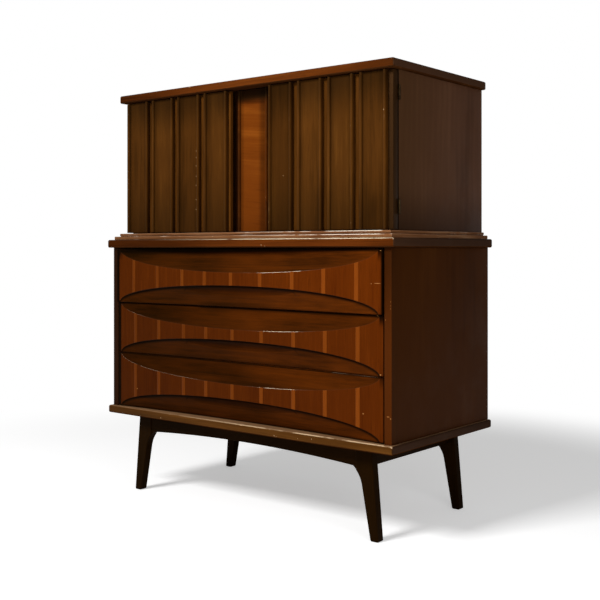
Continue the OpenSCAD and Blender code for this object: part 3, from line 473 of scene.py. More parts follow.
# Closed skin over a grid of points: rows of columns of (x, y, z) in mm, closed at the back plane
def gridSkin(name, rows, backY, tags, body, replaced, material):
    bm = bmesh.new()
    layers = {label: bm.verts.layers.float.new(label) for label in tags}
    grid = []
    for j, row in enumerate(rows):
        line = []
        for i, point in enumerate(row):
            vert = bm.verts.new([value * mm for value in point])
            for label in tags:
                vert[layers[label]] = tags[label][j][i]
            line.append(vert)
        grid.append(line)
    for lower, upper in zip(grid, grid[1:]):
        for i in range(len(lower) - 1):
            bm.faces.new((lower[i], lower[i + 1], upper[i + 1], upper[i]))
    rim = grid[0] + [line[-1] for line in grid[1:]] + grid[-1][-2::-1] + [line[0] for line in grid[-2:0:-1]]
    back = [bm.verts.new((vert.co.x, backY * mm, vert.co.z)) for vert in rim]
    for k in range(len(rim)):
        n = (k + 1) % len(rim)
        bm.faces.new((rim[n], rim[k], back[k], back[n]))
    bm.faces.new(back)
    bmesh.ops.recalc_face_normals(bm, faces=bm.faces)
    return closePiece(name, bm, body, replaced, material)


print("Tools ready")

# Slabs and mouldings
slabs = {
    "top_slab": {
        "finish": "slab", "tone": 0.66, "returnTone": 0.78, "fade": (-0.50, -0.05, 0.62, None, 0.68),
        "upperWearAndHighlight": 0.5, "lowerWear": 0.1,
        "chips": ((-190, 1137, 1.6, 2.5), (262, 1118, 1.2, 1), (330, 1117, 1.2, 1)),
    },
    "waist_band": {
        "finish": "band", "tone": 0.8, "returnTone": 0.5, "fade": (-0.30, 0.12, 0.40),
        "upperWearAndHighlight": 2.0, "lowerWear": 0.0,
        "chips": ((96, 704, 1.5, 1), (96, 700, 1.5, 1), (108, 701, 1.3, 1), (292, 699, 1.2, 1.5)),
    },
    "bottom_slab": {
        "finish": "sill", "tone": 0.76, "returnTone": 0.45, "fade": (-0.50, 0.00, 0.85, 0.2411),
        "upperWearAndHighlight": 2.0, "lowerWear": 0.5,
        "chips": (
            (-272, 227, 1.5, 1), (27, 240, 1.6, 2), (139, 226, 1.6, 1),
            (146, 224, 1.2, 1), (258, 232, 1.5, 1), (215, 228, 1.0, 1),
        ),
    },
}
rounding = {"slab": 4.5, "step": 2.0, "quirk": 0.3}


# Rubbed arrises, paler on the upper rounding and towards the right end; there the pale rubbing also stands
# for a painted highlight
def slabWearAndHighlight(look):
    def wearAndHighlightAt(place, normal):
        if normal.z < -0.1:
            return look["lowerWear"]
        along = share((place.x + 480) / 700)
        if normal.z > 0.1 and normal.y < -0.1:
            return look["upperWearAndHighlight"] * (0.45 + 0.55 * along)
        return 0.3
    return wearAndHighlightAt


for number, (node, look) in enumerate(slabs.items()):
    shade = shadeAlong(*look["fade"], chips=look["chips"])
    slabWood = woodMaterial(f"Slab {number}", look["finish"], 11 + number, look["tone"], None, shade)
    slab = boardOf(node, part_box(node), rounding["slab"], "slab_wood", slabWood, 5, slabWearAndHighlight(look))
    underside = woodMaterial(f"Slab underside {number}", "raw", 18 + number)
    returned = woodMaterial(f"Slab return {number}", "side", 15 + number, look["returnTone"], "Y")
    returnWood(slab, returned, underside)

moulding = {
    "stepA": {"halfWidth": 482, "front": -224, "back": 236, "low": 720, "high": 729.5, "round": "step"},
    "quirk": {"halfWidth": 469, "front": -211, "back": 234, "low": 724.75, "high": 734.5, "round": "quirk"},
    "stepB": {"halfWidth": 471, "front": -213, "back": 236, "low": 731, "high": 738, "round": "step"},
}


# The upward rounding of each step is rubbed pale, more towards the right end; this is wear and a painted
# highlight
def stepWearAndHighlight(place, normal):
    along = share((place.x + 200) / 600)
    return 0.6 + 1.2 * along if normal.z > 0 and normal.y < -0.1 else 0.7


mouldingWood = woodMaterial("Waist moulding", "moulding", 21, 0.85, None, shadeAlong(-0.5, 0.4, 0.72))
mouldingReturn = woodMaterial("Waist moulding return", "moulding", 22, 0.8, "Y")
for part, size in moulding.items():
    step = easedBoard(
        "moulding_" + part, rectangle(size["front"], size["low"], size["back"], size["high"]), "x",
        -size["halfWidth"], size["halfWidth"], rounding[size["round"]],
        "case", "slab_wood", ["waist_moulding"], mouldingWood, 4, 28, stepWearAndHighlight,
    )
    returnWood(step, mouldingReturn)
print("Slabs and mouldings built")

# Drawer fronts with their leaf-shaped scoops
leaf = {
    "halfLength": 450.0, "depth": 20.0, "halfHeight": 57.5,
    "pullHalfLength": 195.0, "pullHeight": 24.0, "pullDepth": 6.0, "pullLip": 2.0,
    "halfWidth": 460.5, "thickness": 30.0, "ease": 1.0, "rimWear": 1.3,
    "arrisEase": 0.9, "arrisMargin": 1.6, "arrisDrop": 0.22, "ledge": 6.0, "ledgeReach": 16.0,
}
usualDrawer = {
    "face": -226.0, "highHalf": 57.5, "rim": (0, 0), "endDirt": (459, 6), "dirtAbove": 7, "underBand": False,
}
drawers = {  # bare: arris above the flat band rubbed to bare wood; rim: worn part of the top edge
    1: {
        **usualDrawer, "face": -232.0, "low": 541.5, "high": 694.5, "lowSeam": 540.75, "highSeam": 696.0,
        "highHalf": 64.0, "bare": ((75, 222),), "endDirt": (456, 5), "underBand": True,
        "shade": 0.93, "strip": 0.9,
        "chips": ((447, 614, 1.0, 11), (430, 613, 1.2, 1.5), (456, 690, 0.8, 3)),
    },
    2: {
        **usualDrawer, "low": 398.0, "high": 540.0, "lowSeam": 397.25, "highSeam": 540.75,
        "bare": ((-452, -385), (100, 205)), "shade": 0.76, "strip": 0.76,
        "chips": ((444, 539, 1.8, 1.6), (452, 402, 2.0, 1.3)),
    },
    3: {
        **usualDrawer, "low": 244.5, "high": 396.5, "lowSeam": 243.0, "highSeam": 397.25,
        "bare": ((-452, -170), (85, 190)), "rim": (305, 445), "dirtAbove": 4, "shade": 0.72, "strip": 0.8,
        "chips": ((403, 307, 1.8, 1.4), (-382, 297, 2.0, 1.3)),
    },
}
strips = {  # steps: rows beside each arris; wear: edge value of each row, from below
    "at": (-389, -292.5, -195, -110.5, -15, 85.5, 191, 289.5, 387),
    "width": 12.0, "proud": 0.3, "ease": 0.25, "back": 9.0,
    "steps": (0.1, 0.3, 0.8, 2.4), "wear": (0, 0, 0, 0, 0, 0, 0, 0, 0.5, 1, 1), "dirt": 0.8,
}

sweepR = (leaf["halfLength"] ** 2 + leaf["depth"] ** 2) / (2 * leaf["depth"])


def crossR(halfHeight):
    return (halfHeight ** 2 + leaf["depth"] ** 2) / (2 * leaf["depth"])


def leafReach(x, halfHeight=leaf["halfHeight"]):  # half height of the leaf's outline at x
    r = crossR(halfHeight)
    rho = sqrt(x * x + (sweepR - leaf["depth"]) ** 2)
    inside = r * r - (rho - sweepR + r) ** 2
    return sqrt(inside) if inside > 0 else 0.0


def leafDepth(x, dz, halfHeight=leaf["halfHeight"]):
    r = crossR(halfHeight)
    if abs(dz) >= r:
        return 0.0
    reach = (sweepR - r + sqrt(r * r - dz * dz)) ** 2 - x * x
    return max(sqrt(reach) - (sweepR - leaf["depth"]), 0.0) if reach > 0 else 0.0


def pullShape():
    r = crossR(leaf["halfHeight"])
    highZ = leaf["halfHeight"] - leaf["pullLip"]
    lowZ = highZ - leaf["pullHeight"]
    highY = sqrt(r * r - highZ * highZ) - r + leaf["depth"]
    lowY = sqrt(r * r - lowZ * lowZ) - r + leaf["depth"]
    chord = hypot(lowY - highY, leaf["pullHeight"])
    hollow = leaf["pullDepth"] + chord * chord / (8 * r)
    radius = (chord * chord / 4 + hollow * hollow) / (2 * hollow)
    leanY = leaf["pullHeight"] / chord
    leanZ = (lowY - highY) / chord
    centreY = (highY + lowY) / 2 - leanY * (radius - hollow)
    centreZ = (highZ + lowZ) / 2 - leanZ * (radius - hollow)
    sweep = 1 / (2 * leaf["pullDepth"] / (leanY * leaf["pullHalfLength"] ** 2) + 1 / sweepR)
    return radius, centreY, centreZ, sweep


pullR, pullY, pullZ, pullSweep = pullShape()


def pullDepthAt(x, dz):
    if abs(dz - pullZ) >= pullR:
        return -99.0
    reach = (pullSweep - pullR + sqrt(pullR ** 2 - (dz - pullZ) ** 2)) ** 2 - x * x
    return pullY + pullR - pullSweep + sqrt(reach)


def pullGap(x, dz):  # how far the finger pull goes in behind the leaf
    return pullDepthAt(x, dz) - leafDepth(x, dz)


search = {"heights": [28 + k * 0.5 for k in range(61)], "least": 0.01, "reach": 22, "halvings": 30}


def pullEdges(x):  # lower and upper crease of the finger pull above the seam
    best = max(search["heights"], key=lambda dz: pullGap(x, dz))
    if pullGap(x, best) <= search["least"] or leafReach(x) <= 0:
        return None
    ends = []
    for direction in (-1, 1):
        inside, outside = best, best + direction * search["reach"]
        for k in range(search["halvings"]):
            half = (inside + outside) / 2
            if pullGap(x, half) > 0:
                inside = half
            else:
                outside = half
        ends.append(inside)
    return ends


def ledgeDepth(x, below):  # small cove that undercuts the upper arris of a lower leaf
    if below <= 0:
        return 0.0
    ends = share((leaf["halfLength"] - abs(x)) / 90.0)
    return leaf["ledge"] * ends * min(1.0, below / 0.8) * exp(-max(below - 0.8, 0) / leaf["ledgeReach"])


def surfaceDepth(x, z, drawer):
    low = leafDepth(x, z - drawer["lowSeam"])
    reach = leafReach(x)
    if reach > 0 and z > drawer["low"] - 1:
        low += ledgeDepth(x, drawer["lowSeam"] + reach - z)
    high = leafDepth(x, drawer["highSeam"] - z, drawer["highHalf"])
    return max(low + max(pullGap(x, z - drawer["lowSeam"]), 0.0), high, 0.0)


def frontRows(x, drawer):  # list of (z, depth, edge, scoop, pull) up one column
    low, high, margin = drawer["low"], drawer["high"], leaf["arrisMargin"]
    lowTip = drawer["lowSeam"] + leafReach(x)
    highTip = drawer["highSeam"] - leafReach(x, drawer["highHalf"])
    lowArris, highArris = max(lowTip, low + margin), min(highTip, high - margin)
    inLow = 1.0 if lowTip > low + margin else 0.0
    inHigh = 1.0 if highTip < high - margin else 0.0
    ease = min(leaf["arrisEase"], (lowArris - low) / 4)
    creases = pullEdges(x)
    span = lowArris - ease - low
    if creases:
        lowCrease = drawer["lowSeam"] + creases[0]
        highCrease = min(drawer["lowSeam"] + creases[1], lowArris - ease * 1.2)
    else:
        lowCrease = low + span * 0.66
        highCrease = low + span * 0.72
    rows = [(low, 0, 1, 0)]

    def climb(start, stop, parts, scoop):  # rows at equal steps between two heights
        rows.extend((start + (stop - start) * k / parts, 0, scoop, 0) for k in range(1, parts))

    climb(low, lowCrease, 6, 1)
    rows.append((lowCrease, 0.3 if creases else 0, 1, 0))
    for k in range(1, 10):
        part = 0.5 - 0.5 * cos(pi * k / 9)
        rows.append((lowCrease + (highCrease - lowCrease) * part, 0, 1, 1 if creases and k < 9 else 0))
    climb(highCrease, lowArris - ease, 5, 1)
    rows.append((lowArris - ease, 0, 1, 0))
    bandLow, bandHigh = lowArris + ease * 3, highArris - ease * 3
    rows += [(lowArris, 0.7, 0.5, 0), (lowArris + ease, 0.2, 0, 0), (bandLow, 0, 0, 0)]
    climb(bandLow, bandHigh, 5, 0)
    rows += [(bandHigh, 0, 0, 0), (highArris - ease, 0.5, 0, 0), (highArris, 1, 0.5, 0)]
    rows.append((highArris + ease, 0.4, 1, 0))
    for k in range(1, 11):
        rows.append((highArris + ease + (high - highArris - ease) * k / 10, 0, 1, 0))
    done = []
    for z, edge, scoop, pull in rows:
        depth = surfaceDepth(x, z, drawer)
        if z == lowArris and inLow or z == highArris and inHigh:
            depth += leaf["arrisDrop"]
        if z == highArris:  # bare wood along parts of the arris, fading out beyond them
            gap = min(max(start - x, x - stop, 0.0) for start, stop in drawer["bare"])
            edge = (2.0 if x > 0 else 1.38) if gap == 0 else max(edge, 1.36 - gap / 300)
        if z == high and drawer["rim"][0] < x < drawer["rim"][1]:
            edge = leaf["rimWear"]
        inside = inLow if z <= lowArris else (inHigh if z >= highArris else 1.0)
        done.append((z, depth, edge * inside, scoop * inside, pull * inLow))
    return done


def frontColumns():
    inner = [leaf["halfLength"] * part for part in spread(96)]
    ends = [454.0, 458.0, leaf["halfWidth"] - leaf["ease"]]
    return [-x for x in reversed(ends)] + inner + ends


# Painted shade under the arris, under the band, under the edge above, along the lower edge and beside the
# stiles: how far each reaches
shadeReach = {"arris": 11, "above": 4, "foot": 10, "leftEnd": (448, 6), "band": 19, "bandLess": 11}


def paintedFrontShade(x, z, scoop, drawer):
    below = drawer["lowSeam"] + leafReach(x) - z
    under, over = drawer["high"] - z, z - drawer["low"]
    shade = 1 - below / shadeReach["arris"] if scoop and 0.5 < below < shadeReach["arris"] else 0.0
    right = share((x + 150) / 450)  # the band's shadow is deeper to the left
    if drawer["underBand"]:
        shade = max(shade, 1.1 - under / (shadeReach["band"] - shadeReach["bandLess"] * right))
    above = drawer["dirtAbove"] if right else shadeReach["above"]
    shade = max(shade, 1.15 - under / above, 0.4 - over / shadeReach["foot"])
    for outward, (start, reach) in ((x, drawer["endDirt"]), (-x, shadeReach["leftEnd"])):
        shade = max(shade, (outward - start) / reach)
    return share(shade)


def buildFront(number, drawer, material):
    ease, halfWidth, face = leaf["ease"], leaf["halfWidth"], drawer["face"]
    xs = frontColumns()
    columns = [frontRows(x, drawer) for x in xs]
    last = len(columns[0]) - 1
    rows, tags = [], {"edge": [], "scoop": [], "pull": [], "grimeAndShade": []}

    def addRow(made):  # adds a row of (point, edge, scoop, pull, grime) with its eased ends
        points, *values = [list(part) for part in zip(*made)]
        (leftY, leftZ), (rightY, rightZ) = points[0][1:], points[-1][1:]
        lead = [(-halfWidth, leftY + ease, leftZ), (-halfWidth + 0.3 * ease, leftY + 0.3 * ease, leftZ)]
        tail = [(halfWidth - 0.3 * ease, rightY + 0.3 * ease, rightZ), (halfWidth, rightY + ease, rightZ)]
        rows.append(lead + points + tail)
        for label, given in zip(tags, values):
            atEnd = [1 if label == "grimeAndShade" else 0] * 2
            tags[label].append(atEnd + given + atEnd)

    def lineAt(index, shift, extra, edge):  # lower or upper edge of the front
        z = columns[0][index][0] + shift
        line = [(x, face + column[index][1] + extra, z) for x, column in zip(xs, columns)]
        addRow([(point, edge, column[index][3], 0, 0) for point, column in zip(line, columns)])

    lineAt(0, 0, ease, 0)
    lineAt(0, 0.3 * ease, 0.3 * ease, 0.3)
    for index in range(last + 1):
        made = []
        for x, column in zip(xs, columns):
            z, depth, edge, scoop, pull = column[index]
            if index in (0, last):
                z, edge = (z + ease, 0.3) if index == 0 else (z - ease, max(edge, 0.3))
                depth = surfaceDepth(x, z, drawer)
            made.append(((x, face + depth, z), edge, scoop, pull, paintedFrontShade(x, z, scoop, drawer)))
        addRow(made)
    lineAt(last, -0.3 * ease, 0.3 * ease, 0.3)
    lineAt(last, 0, ease, 0)
    return gridSkin(
        f"drawer_{number}_leaf_front", rows, face + leaf["thickness"], tags,
        f"drawer_{number}", [f"drawer_{number}_front"], material,
    )


def buildStrip(number, index, drawer, material):
    centre, half, ease, steps = strips["at"][index], strips["width"] / 2, strips["ease"], strips["steps"]
    inner = [centre - half + ease + (2 * half - 2 * ease) * k / 6 for k in range(1, 6)]
    xs = [centre - half, centre - half + ease] + inner + [centre + half - ease, centre + half]
    columns = []
    for x in xs:
        low = drawer["lowSeam"] + leafReach(x)
        high = drawer["highSeam"] - leafReach(x, drawer["highHalf"])
        middle = [low + steps[-1] + (high - low - 2 * steps[-1]) * k / 4 for k in (1, 2, 3)]
        heights = [low + step for step in steps] + middle + [high - step for step in reversed(steps)]
        column = []
        for z in heights:
            flush = x in (xs[0], xs[-1]) or z in (heights[0], heights[-1])
            proud = 0.0 if flush else strips["proud"]
            column.append((x, drawer["face"] + surfaceDepth(x, z, drawer) - proud, z))
        columns.append(column)
    rows = list(zip(*columns))
    edges = [[value] * len(xs) for value in strips["wear"]]
    # Grime and painted shade along both sides of each strip
    dirt = [[strips["dirt"]] + [0] * (len(xs) - 2) + [strips["dirt"]]] * len(rows)
    return gridSkin(
        f"drawer_{number}_strip_{index + 1}", rows, drawer["face"] + strips["back"],
        {"edge": edges, "grimeAndShade": dirt}, f"drawer_{number}",
        [f"drawer_{number}_strips"], material,
    )


# The scoops show darker wood whose grain reads across the leaf; painted light makes the front paler towards
# the right end, and painted shade darkens the finger pulls, arrises and seams
def scoopShade(coords, placed, colour, toned, level=1.0, chips=()):
    tree = coords.id_data
    across = placeGroup(tree, grain, {
        "Vector": stretch(placed, (1, 1, 1), (0.7, 0.2, 0.1), (0, 90, 0)),
        "Streak Scale": 60.0, "Streak Amount": 1.0,
        "Figure Scale": 12.0, "Figure Amount": 1.1, "Pore Amount": 0.2,
    })
    at = axes(coords)
    litRight = ramp(at["X"], -0.46, 0.40)  # painted light: the carved wood is painted paler towards the right end
    # Painted shade: the flat band is darker towards the left end
    colour = mix(ramp(at["X"], -0.46, 0.42, 0.42, 0.0), colour, srgb(40, 17, 1))
    low = mix(litRight, srgb(32, 14, 0), srgb(56, 24, 2))
    high = mix(litRight, srgb(66, 29, 2), srgb(106, 48, 6))
    inside = mix(across["Tone"], low, high)
    inside = mix(across["Pores"], inside, toned("pore"))
    shaded = mix(ramp(attribute(tree, "scoop"), 0.3, 0.7), colour, inside)
    # Painted shade in the finger pull
    shaded = mix(times(attribute(tree, "pull"), 0.45), shaded, srgb(40, 16, 4))
    shaded = mix(1.0, shaded, (level, level, level, 1), "MULTIPLY")
    # Grime and painted shade under the arrises, under the band and along the seams turn nearly black
    shaded = mix(ramp(attribute(tree, "grimeAndShade"), 0.0, 0.75, 0.0, 0.95), shaded, srgb(10, 4, 0))
    return chipSpots(coords, shaded, chips, (176, 120, 66))


for number, drawer in drawers.items():
    frontShade = lambda *parts: scoopShade(*parts, drawer["shade"], drawer["chips"])
    frontWood = woodMaterial(f"Drawer front {number}", "front", 30 + number, 0.84, None, frontShade)
    buildFront(number, drawer, frontWood)
    # Painted shade: the strips darken towards the left end
    fade = shadeAlong(-0.46, 0.45, 0.56)
    stripWood = woodMaterial(f"Drawer strip {number}", "strip", 40 + number, drawer["strip"], None, fade)
    for index in range(len(strips["at"])):
        buildStrip(number, index, drawer, stripWood)
print("Drawer fronts built")

# The doors darken towards their ends; under the slab this is painted shade, deepest there
def endShade(topFrom, topFull, topMost, footMost, chips=()):
    def shade(coords, placed, colour, toned):
        at = axes(coords)
        top = ramp(at["Z"], topFrom, topFull, 0.0, topMost)
        foot = ramp(at["Z"], 0.92, 0.741, 0.0, footMost)
        colour = mix(larger(top, foot), colour, srgb(22, 13, 3))
        return chipSpots(coords, colour, chips)
    return shade


# Dished boards with round beads
boards = {
    "thickness": 12.5, "dish": 7.0, "bead": 8.0, "low": 740.4, "high": 1114.6, "ease": 0.6,
    "doorFace": -191.0, "centreLow": -38.0, "centreWidth": 104.0, "centreBack": -168.0,
    "doors": {  # boards counted from the hinge side
        "left": {
            "start": -450.0, "pitch": 102.375, "width": 83.375, "seed": 51,
            "tones": (0.95, 0.98, 1.01, 1.04),
        },
        "right": {
            "start": 373.625, "pitch": -95.375, "width": 76.375, "seed": 61,
            "tones": (1.12, 1.06, 1.28, 0.84),
        },
    },
    "chips": (
        (445, 1020, 1.8, 1), (183, 865, 1.4, 1), (134, 880, 1.4, 1), (-176, 962, 1.4, 1),
        (-176, 944, 1.2, 1), (-176, 921, 1.4, 1), (-176, 893, 1.2, 1), (-176, 868, 1.4, 1),
        (-176, 829, 1.3, 1), (-176, 802, 1.4, 1),
    ),
}


def boardShade(start, width):
    chips = [spot for spot in boards["chips"] if start < spot[0] < start + width]
    return endShade(1.0, 1.112, 0.65, 0.5, chips)


# Half a board's outline; its last values paint shade in the back corner, over the bead, in the cove beside it
# and across the field's margin
def dishedHalf(shading, beadShade):
    bead, dish, thick = boards["bead"], boards["dish"], boards["thickness"]
    nose = bead / 2
    cove = dish - nose
    half = [(0, 0, 0, 0.25), (0, nose - thick, 0, 0.0)]
    for k in range(1, 13):
        angle = pi - pi * k / 12
        crest = max(0.0, sin(angle)) ** 3 * 0.55  # the crest of the bead is rubbed
        half.append((nose + nose * cos(angle), nose - thick - nose * sin(angle), crest, beadShade))
    for k in range(1, 8):
        angle = pi + pi / 2 * k / 7
        half.append((bead + cove + cove * cos(angle), nose - thick - cove * sin(angle), 0, 0.75 - 0.05 * k))
    for reach, dirt in shading:
        half.append((bead + cove + reach, dish - thick, 0, dirt))
    return half


usualShade = ((6, 0.15), (14, 0.0))


def dishedBoard(
    node, start, width, backY, body, slot, material, left=usualShade, right=usualShade, beadShade=(0, 0),
):
    mirrored = [(width - a, b, c, d) for a, b, c, d in reversed(dishedHalf(right, beadShade[1]))]
    outline = [(start + a, backY + b, c, d) for a, b, c, d in dishedHalf(left, beadShade[0]) + mirrored]
    return easedBoard(
        node + "_dished", outline, "z", boards["low"], boards["high"], boards["ease"],
        body, slot, [node], material, 2, 40,
    )


for n in range(4):
    for side, door in boards["doors"].items():
        start, width = door["start"] + n * door["pitch"], door["width"]
        name = f"{side.title()} door board {n + 1}"
        wood = woodMaterial(name, "door", door["seed"] + n, door["tones"][n], None, boardShade(start, width))
        node = f"door_{side}_board_{n + 1}"
        dishedBoard(node, start, width, boards["doorFace"], "door_" + side, "door_wood", wood)
# Painted shadow on the centre board: dark under the slab, along its margins and over its beads, where the
# doors shade it
dishedBoard(
    "centre_board", boards["centreLow"], boards["centreWidth"], boards["centreBack"], "case", "figured_wood",
    woodMaterial("Centre board", "figured", 71, 0.75, None, endShade(1.072, 1.096, 0.93, 0.1)),
    ((2, 0.6), (8, 0.0)), ((4, 1.0), (14, 0.85), (26, 0.0)), (1.2, 1.1),
)
print("Boards built")

# Legs and aprons
base = {
    "legHeight": 220.5, "outTop": 404.5, "inTop": 359.0, "outFoot": 424.0, "inFoot": 401.5,
    "front": (-195.0, -172.0), "back": (186.5, 209.5), "chamfer": 2.5, "ease": 1.6,
    "kneeR": 69.0, "kneeX": 349.0, "apronZ": 173.0, "apronRise": 12.5, "apronEase": 1.2,
    "aprons": (("apron_front", -193.0, -174.0, 93), ("apron_back", 188.5, 207.5, 96)),
}
inTop, inFoot, kneeR, kneeX, apronZ = [base[key] for key in ("inTop", "inFoot", "kneeR", "kneeX", "apronZ")]
lean = atan((inFoot - inTop) / base["legHeight"])
kneeAlong = (kneeX - inFoot) * -sin(lean) + apronZ * cos(lean)
kneeOff = (inFoot - kneeX) * cos(lean) - apronZ * sin(lean)
kneeStart = kneeAlong - sqrt(2 * kneeOff * kneeR - kneeOff ** 2)
kneeCentre = (
    inFoot - kneeStart * sin(lean) - kneeR * cos(lean), kneeStart * cos(lean) - kneeR * sin(lean),
)
kneeTop = (inTop, kneeCentre[1] + sqrt(kneeR ** 2 - (inTop - kneeCentre[0]) ** 2))


def kneeArc(fromPoint, toPoint, count):
    first = atan2(fromPoint[1] - kneeCentre[1], fromPoint[0] - kneeCentre[0])
    last = atan2(toPoint[1] - kneeCentre[1], toPoint[0] - kneeCentre[0])
    angles = [first + (last - first) * k / count for k in range(count + 1)]
    return [(kneeCentre[0] + kneeR * cos(angle), kneeCentre[1] + kneeR * sin(angle)) for angle in angles]


def legOutline(side):
    chamfer, high = base["chamfer"], base["legHeight"]
    start = (inFoot - kneeStart * sin(lean), kneeStart * cos(lean))
    points = [
        (inTop, high), (base["outTop"], high),
        (base["outFoot"] - chamfer * 0.09, chamfer), (base["outFoot"] - chamfer, 0),
        (inFoot + chamfer, 0), (inFoot - chamfer * tan(lean), chamfer),
    ] + kneeArc(start, kneeTop, 10)
    return [(side * x, z) for x, z in points]


for side, sideName in ((-1, "left"), (1, "right")):
    for depthName, seed in (("front", 80), ("back", 83)):
        node = f"leg_{depthName}_{sideName}"
        easedBoard(
            node + "_wood", legOutline(side), "y", *base[depthName], base["ease"],
            "case", "case_wood", [node], woodMaterial(node, "leg", seed + side),
        )

archR = (kneeX ** 2 + base["apronRise"] ** 2) / (2 * base["apronRise"])


def apronOutline():
    crown = (kneeCentre[0] + sqrt(max(kneeR ** 2 - (apronZ - kneeCentre[1]) ** 2, 0)), apronZ)
    knee = kneeArc(kneeTop, crown, 5)
    arch = []
    for k in range(41):
        x = crown[0] - 2 * crown[0] * k / 40
        arch.append((x, apronZ + base["apronRise"] - archR + sqrt(archR ** 2 - x * x)))
    right = [(inTop, base["legHeight"])] + knee[:-1]
    left = [(-x, z) for x, z in reversed(right)]
    return right + arch + left


for node, low, high, seed in base["aprons"]:
    wood = woodMaterial(node, "leg", seed, 1.0, "X")
    easedBoard(
        node + "_wood", apronOutline(), "y", low, high, base["apronEase"],
        "case", "case_wood", [node], wood, 2,
    )
print("Base built")

# Nodes that keep their own shape get eased edges and a finish
keptFinish = {
    "upper_side_left": ("side", "Z", 1.0), "upper_side_right": ("side", "Z", 1.0),
    "upper_top_board": ("case", "X", 0.9), "upper_floor": ("case", "X", 0.9),
    "upper_back_panel": ("inner", "X", 0.9),
    "centre_stile": ("case", "Z", 0.7), "centre_partition": ("case", "Z", 1.0),
    "shelf_left": ("case", "X", 1.0), "shelf_right": ("case", "X", 1.0),
    "lower_side_left": ("lower", "Z", 1.0), "lower_side_right": ("lower", "Z", 1.0),
    "drawer_rails": ("case", "X", 1.0), "drawer_runners": ("inner", "Y", 1.0),
    "apron_sides": ("leg", "Y", 1.0), "corner_blocks": ("inner", "X", 0.9),
    "door_left_panel": ("door", "Z", 1.15), "door_right_panel": ("door", "Z", 1.15),
}
for number in drawers:
    for part, along in (("side_left", "Y"), ("side_right", "Y"), ("back", "X"), ("bottom", "X")):
        keptFinish[f"drawer_{number}_{part}"] = ("inner", along, 1.0)
metalNodes = ("hinge_case_leaves", "door_catches", "door_left_fittings", "door_right_fittings", "shelf_pins")


# Painted shade: the door panels are dark past their last board, in the narrow gap beside the case sides
def channelShade(coords, placed, colour, toned):
    at = axes(coords)
    ends = ramp(mathNode("ABSOLUTE", at["X"]), 0.449, 0.451)
    return mix(times(ends, 0.75), colour, srgb(34, 24, 14))


# The lower back panel, tight under the band, with painted shade along its top inside
backPanel = {"gap": 0.15, "ease": 0.3, "tone": 0.9, "darkFrom": 0.67, "darkFull": 0.69}


def backShade(coords, placed, colour, toned):
    at = axes(coords)
    top = ramp(at["Z"], backPanel["darkFrom"], backPanel["darkFull"])
    return mix(times(top, ramp(at["Y"], 0.234, 0.2335)), colour, srgb(8, 5, 3))


panelWood = woodMaterial("Wood of lower_back_panel", "inner", 98, backPanel["tone"], "X", backShade)
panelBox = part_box("lower_back_panel")
boardOf("lower_back_panel", panelBox, backPanel["ease"], "inner_wood", panelWood, 2, taller=backPanel["gap"])


stileChips = (
    (473, 307, 1.6, 3), (480, 303, 2.2, 1), (480, 563, 1.2, 1),
    (480, 572, 1.2, 1), (480, 556, 1.2, 1), (466, 530, 1.4, 1),
)


# Painted shade and reflection on the sides: redder and darker low down, paler and bluer towards the back
# where the backdrop shows, nearly black on their front edges behind the doors
def sideShade(coords, placed, colour, toned):
    at = axes(coords)
    low = times(ramp(at["Z"], 0.86, 0.74), ramp(at["Z"], 0.69, 0.72))  # foot of the upper case
    colour = mix(times(low, 0.7), colour, srgb(48, 26, 12))
    # Painted reflection: the sides turn paler and bluer towards the back
    back = ramp(at["Y"], -0.22, 0.24)
    upper = ramp(at["Z"], 0.70, 0.72)
    pale = mix(upper, (1.05, 1.1, 1.2, 1), (1.45, 1.55, 1.9, 1))
    near = mix(upper, (0.8, 0.8, 0.6, 1), (0.88, 0.94, 0.86, 1))
    colour = mix(1.0, colour, mix(back, near, pale), "MULTIPLY")
    # Painted shade on the front edges of the lower sides: dark on the left side, and darker towards the band
    stile = mix(ramp(at["X"], -0.1, 0.1), srgb(34, 15, 5), srgb(84, 39, 9))
    stile = mix(ramp(at["Z"], 0.45, 0.68, 0.0, 0.6), stile, srgb(30, 14, 4))
    stile = chipSpots(coords, stile, stileChips, (170, 110, 56))
    colour = mix(times(ramp(at["Y"], -0.2245, -0.2255), 0.85), colour, stile)
    # Painted shade: the front edges of the upper sides behind the doors are nearly black
    rebate = times(ramp(at["Y"], -0.1672, -0.1676), ramp(at["Z"], 0.735, 0.74))
    return mix(times(rebate, 0.85), colour, srgb(14, 10, 8))


keptEase = (
    ("Weld", "WELD", {"merge_threshold": 0.00002}),
    ("Flat faces", "DECIMATE", {"decimate_type": "DISSOLVE", "angle_limit": radians(1)}),
    ("Eased edges", "BEVEL", {
        "width": 0.8 * mm, "segments": 2, "limit_method": "ANGLE", "angle_limit": radians(35),
        "harden_normals": True,
    }),
)


def easeKept(piece):
    for name, kind, settings in keptEase:
        setAll(piece.modifiers.new(name, kind), settings)
    piece.data.shade_smooth()


def dress(node, material):
    nodes[node].data.materials.clear()
    nodes[node].data.materials.append(material)


for count, (node, (finish, along, tone)) in enumerate(keptFinish.items()):
    shade = channelShade if node.startswith("door_") else (sideShade if "er_side_" in node else None)
    dress(node, woodMaterial("Wood of " + node, finish, 100 + count, tone, along, shade))
    easeKept(nodes[node])
brass = brassMaterial()
for node in metalNodes:
    dress(node, brass)
print("Kept nodes dressed")

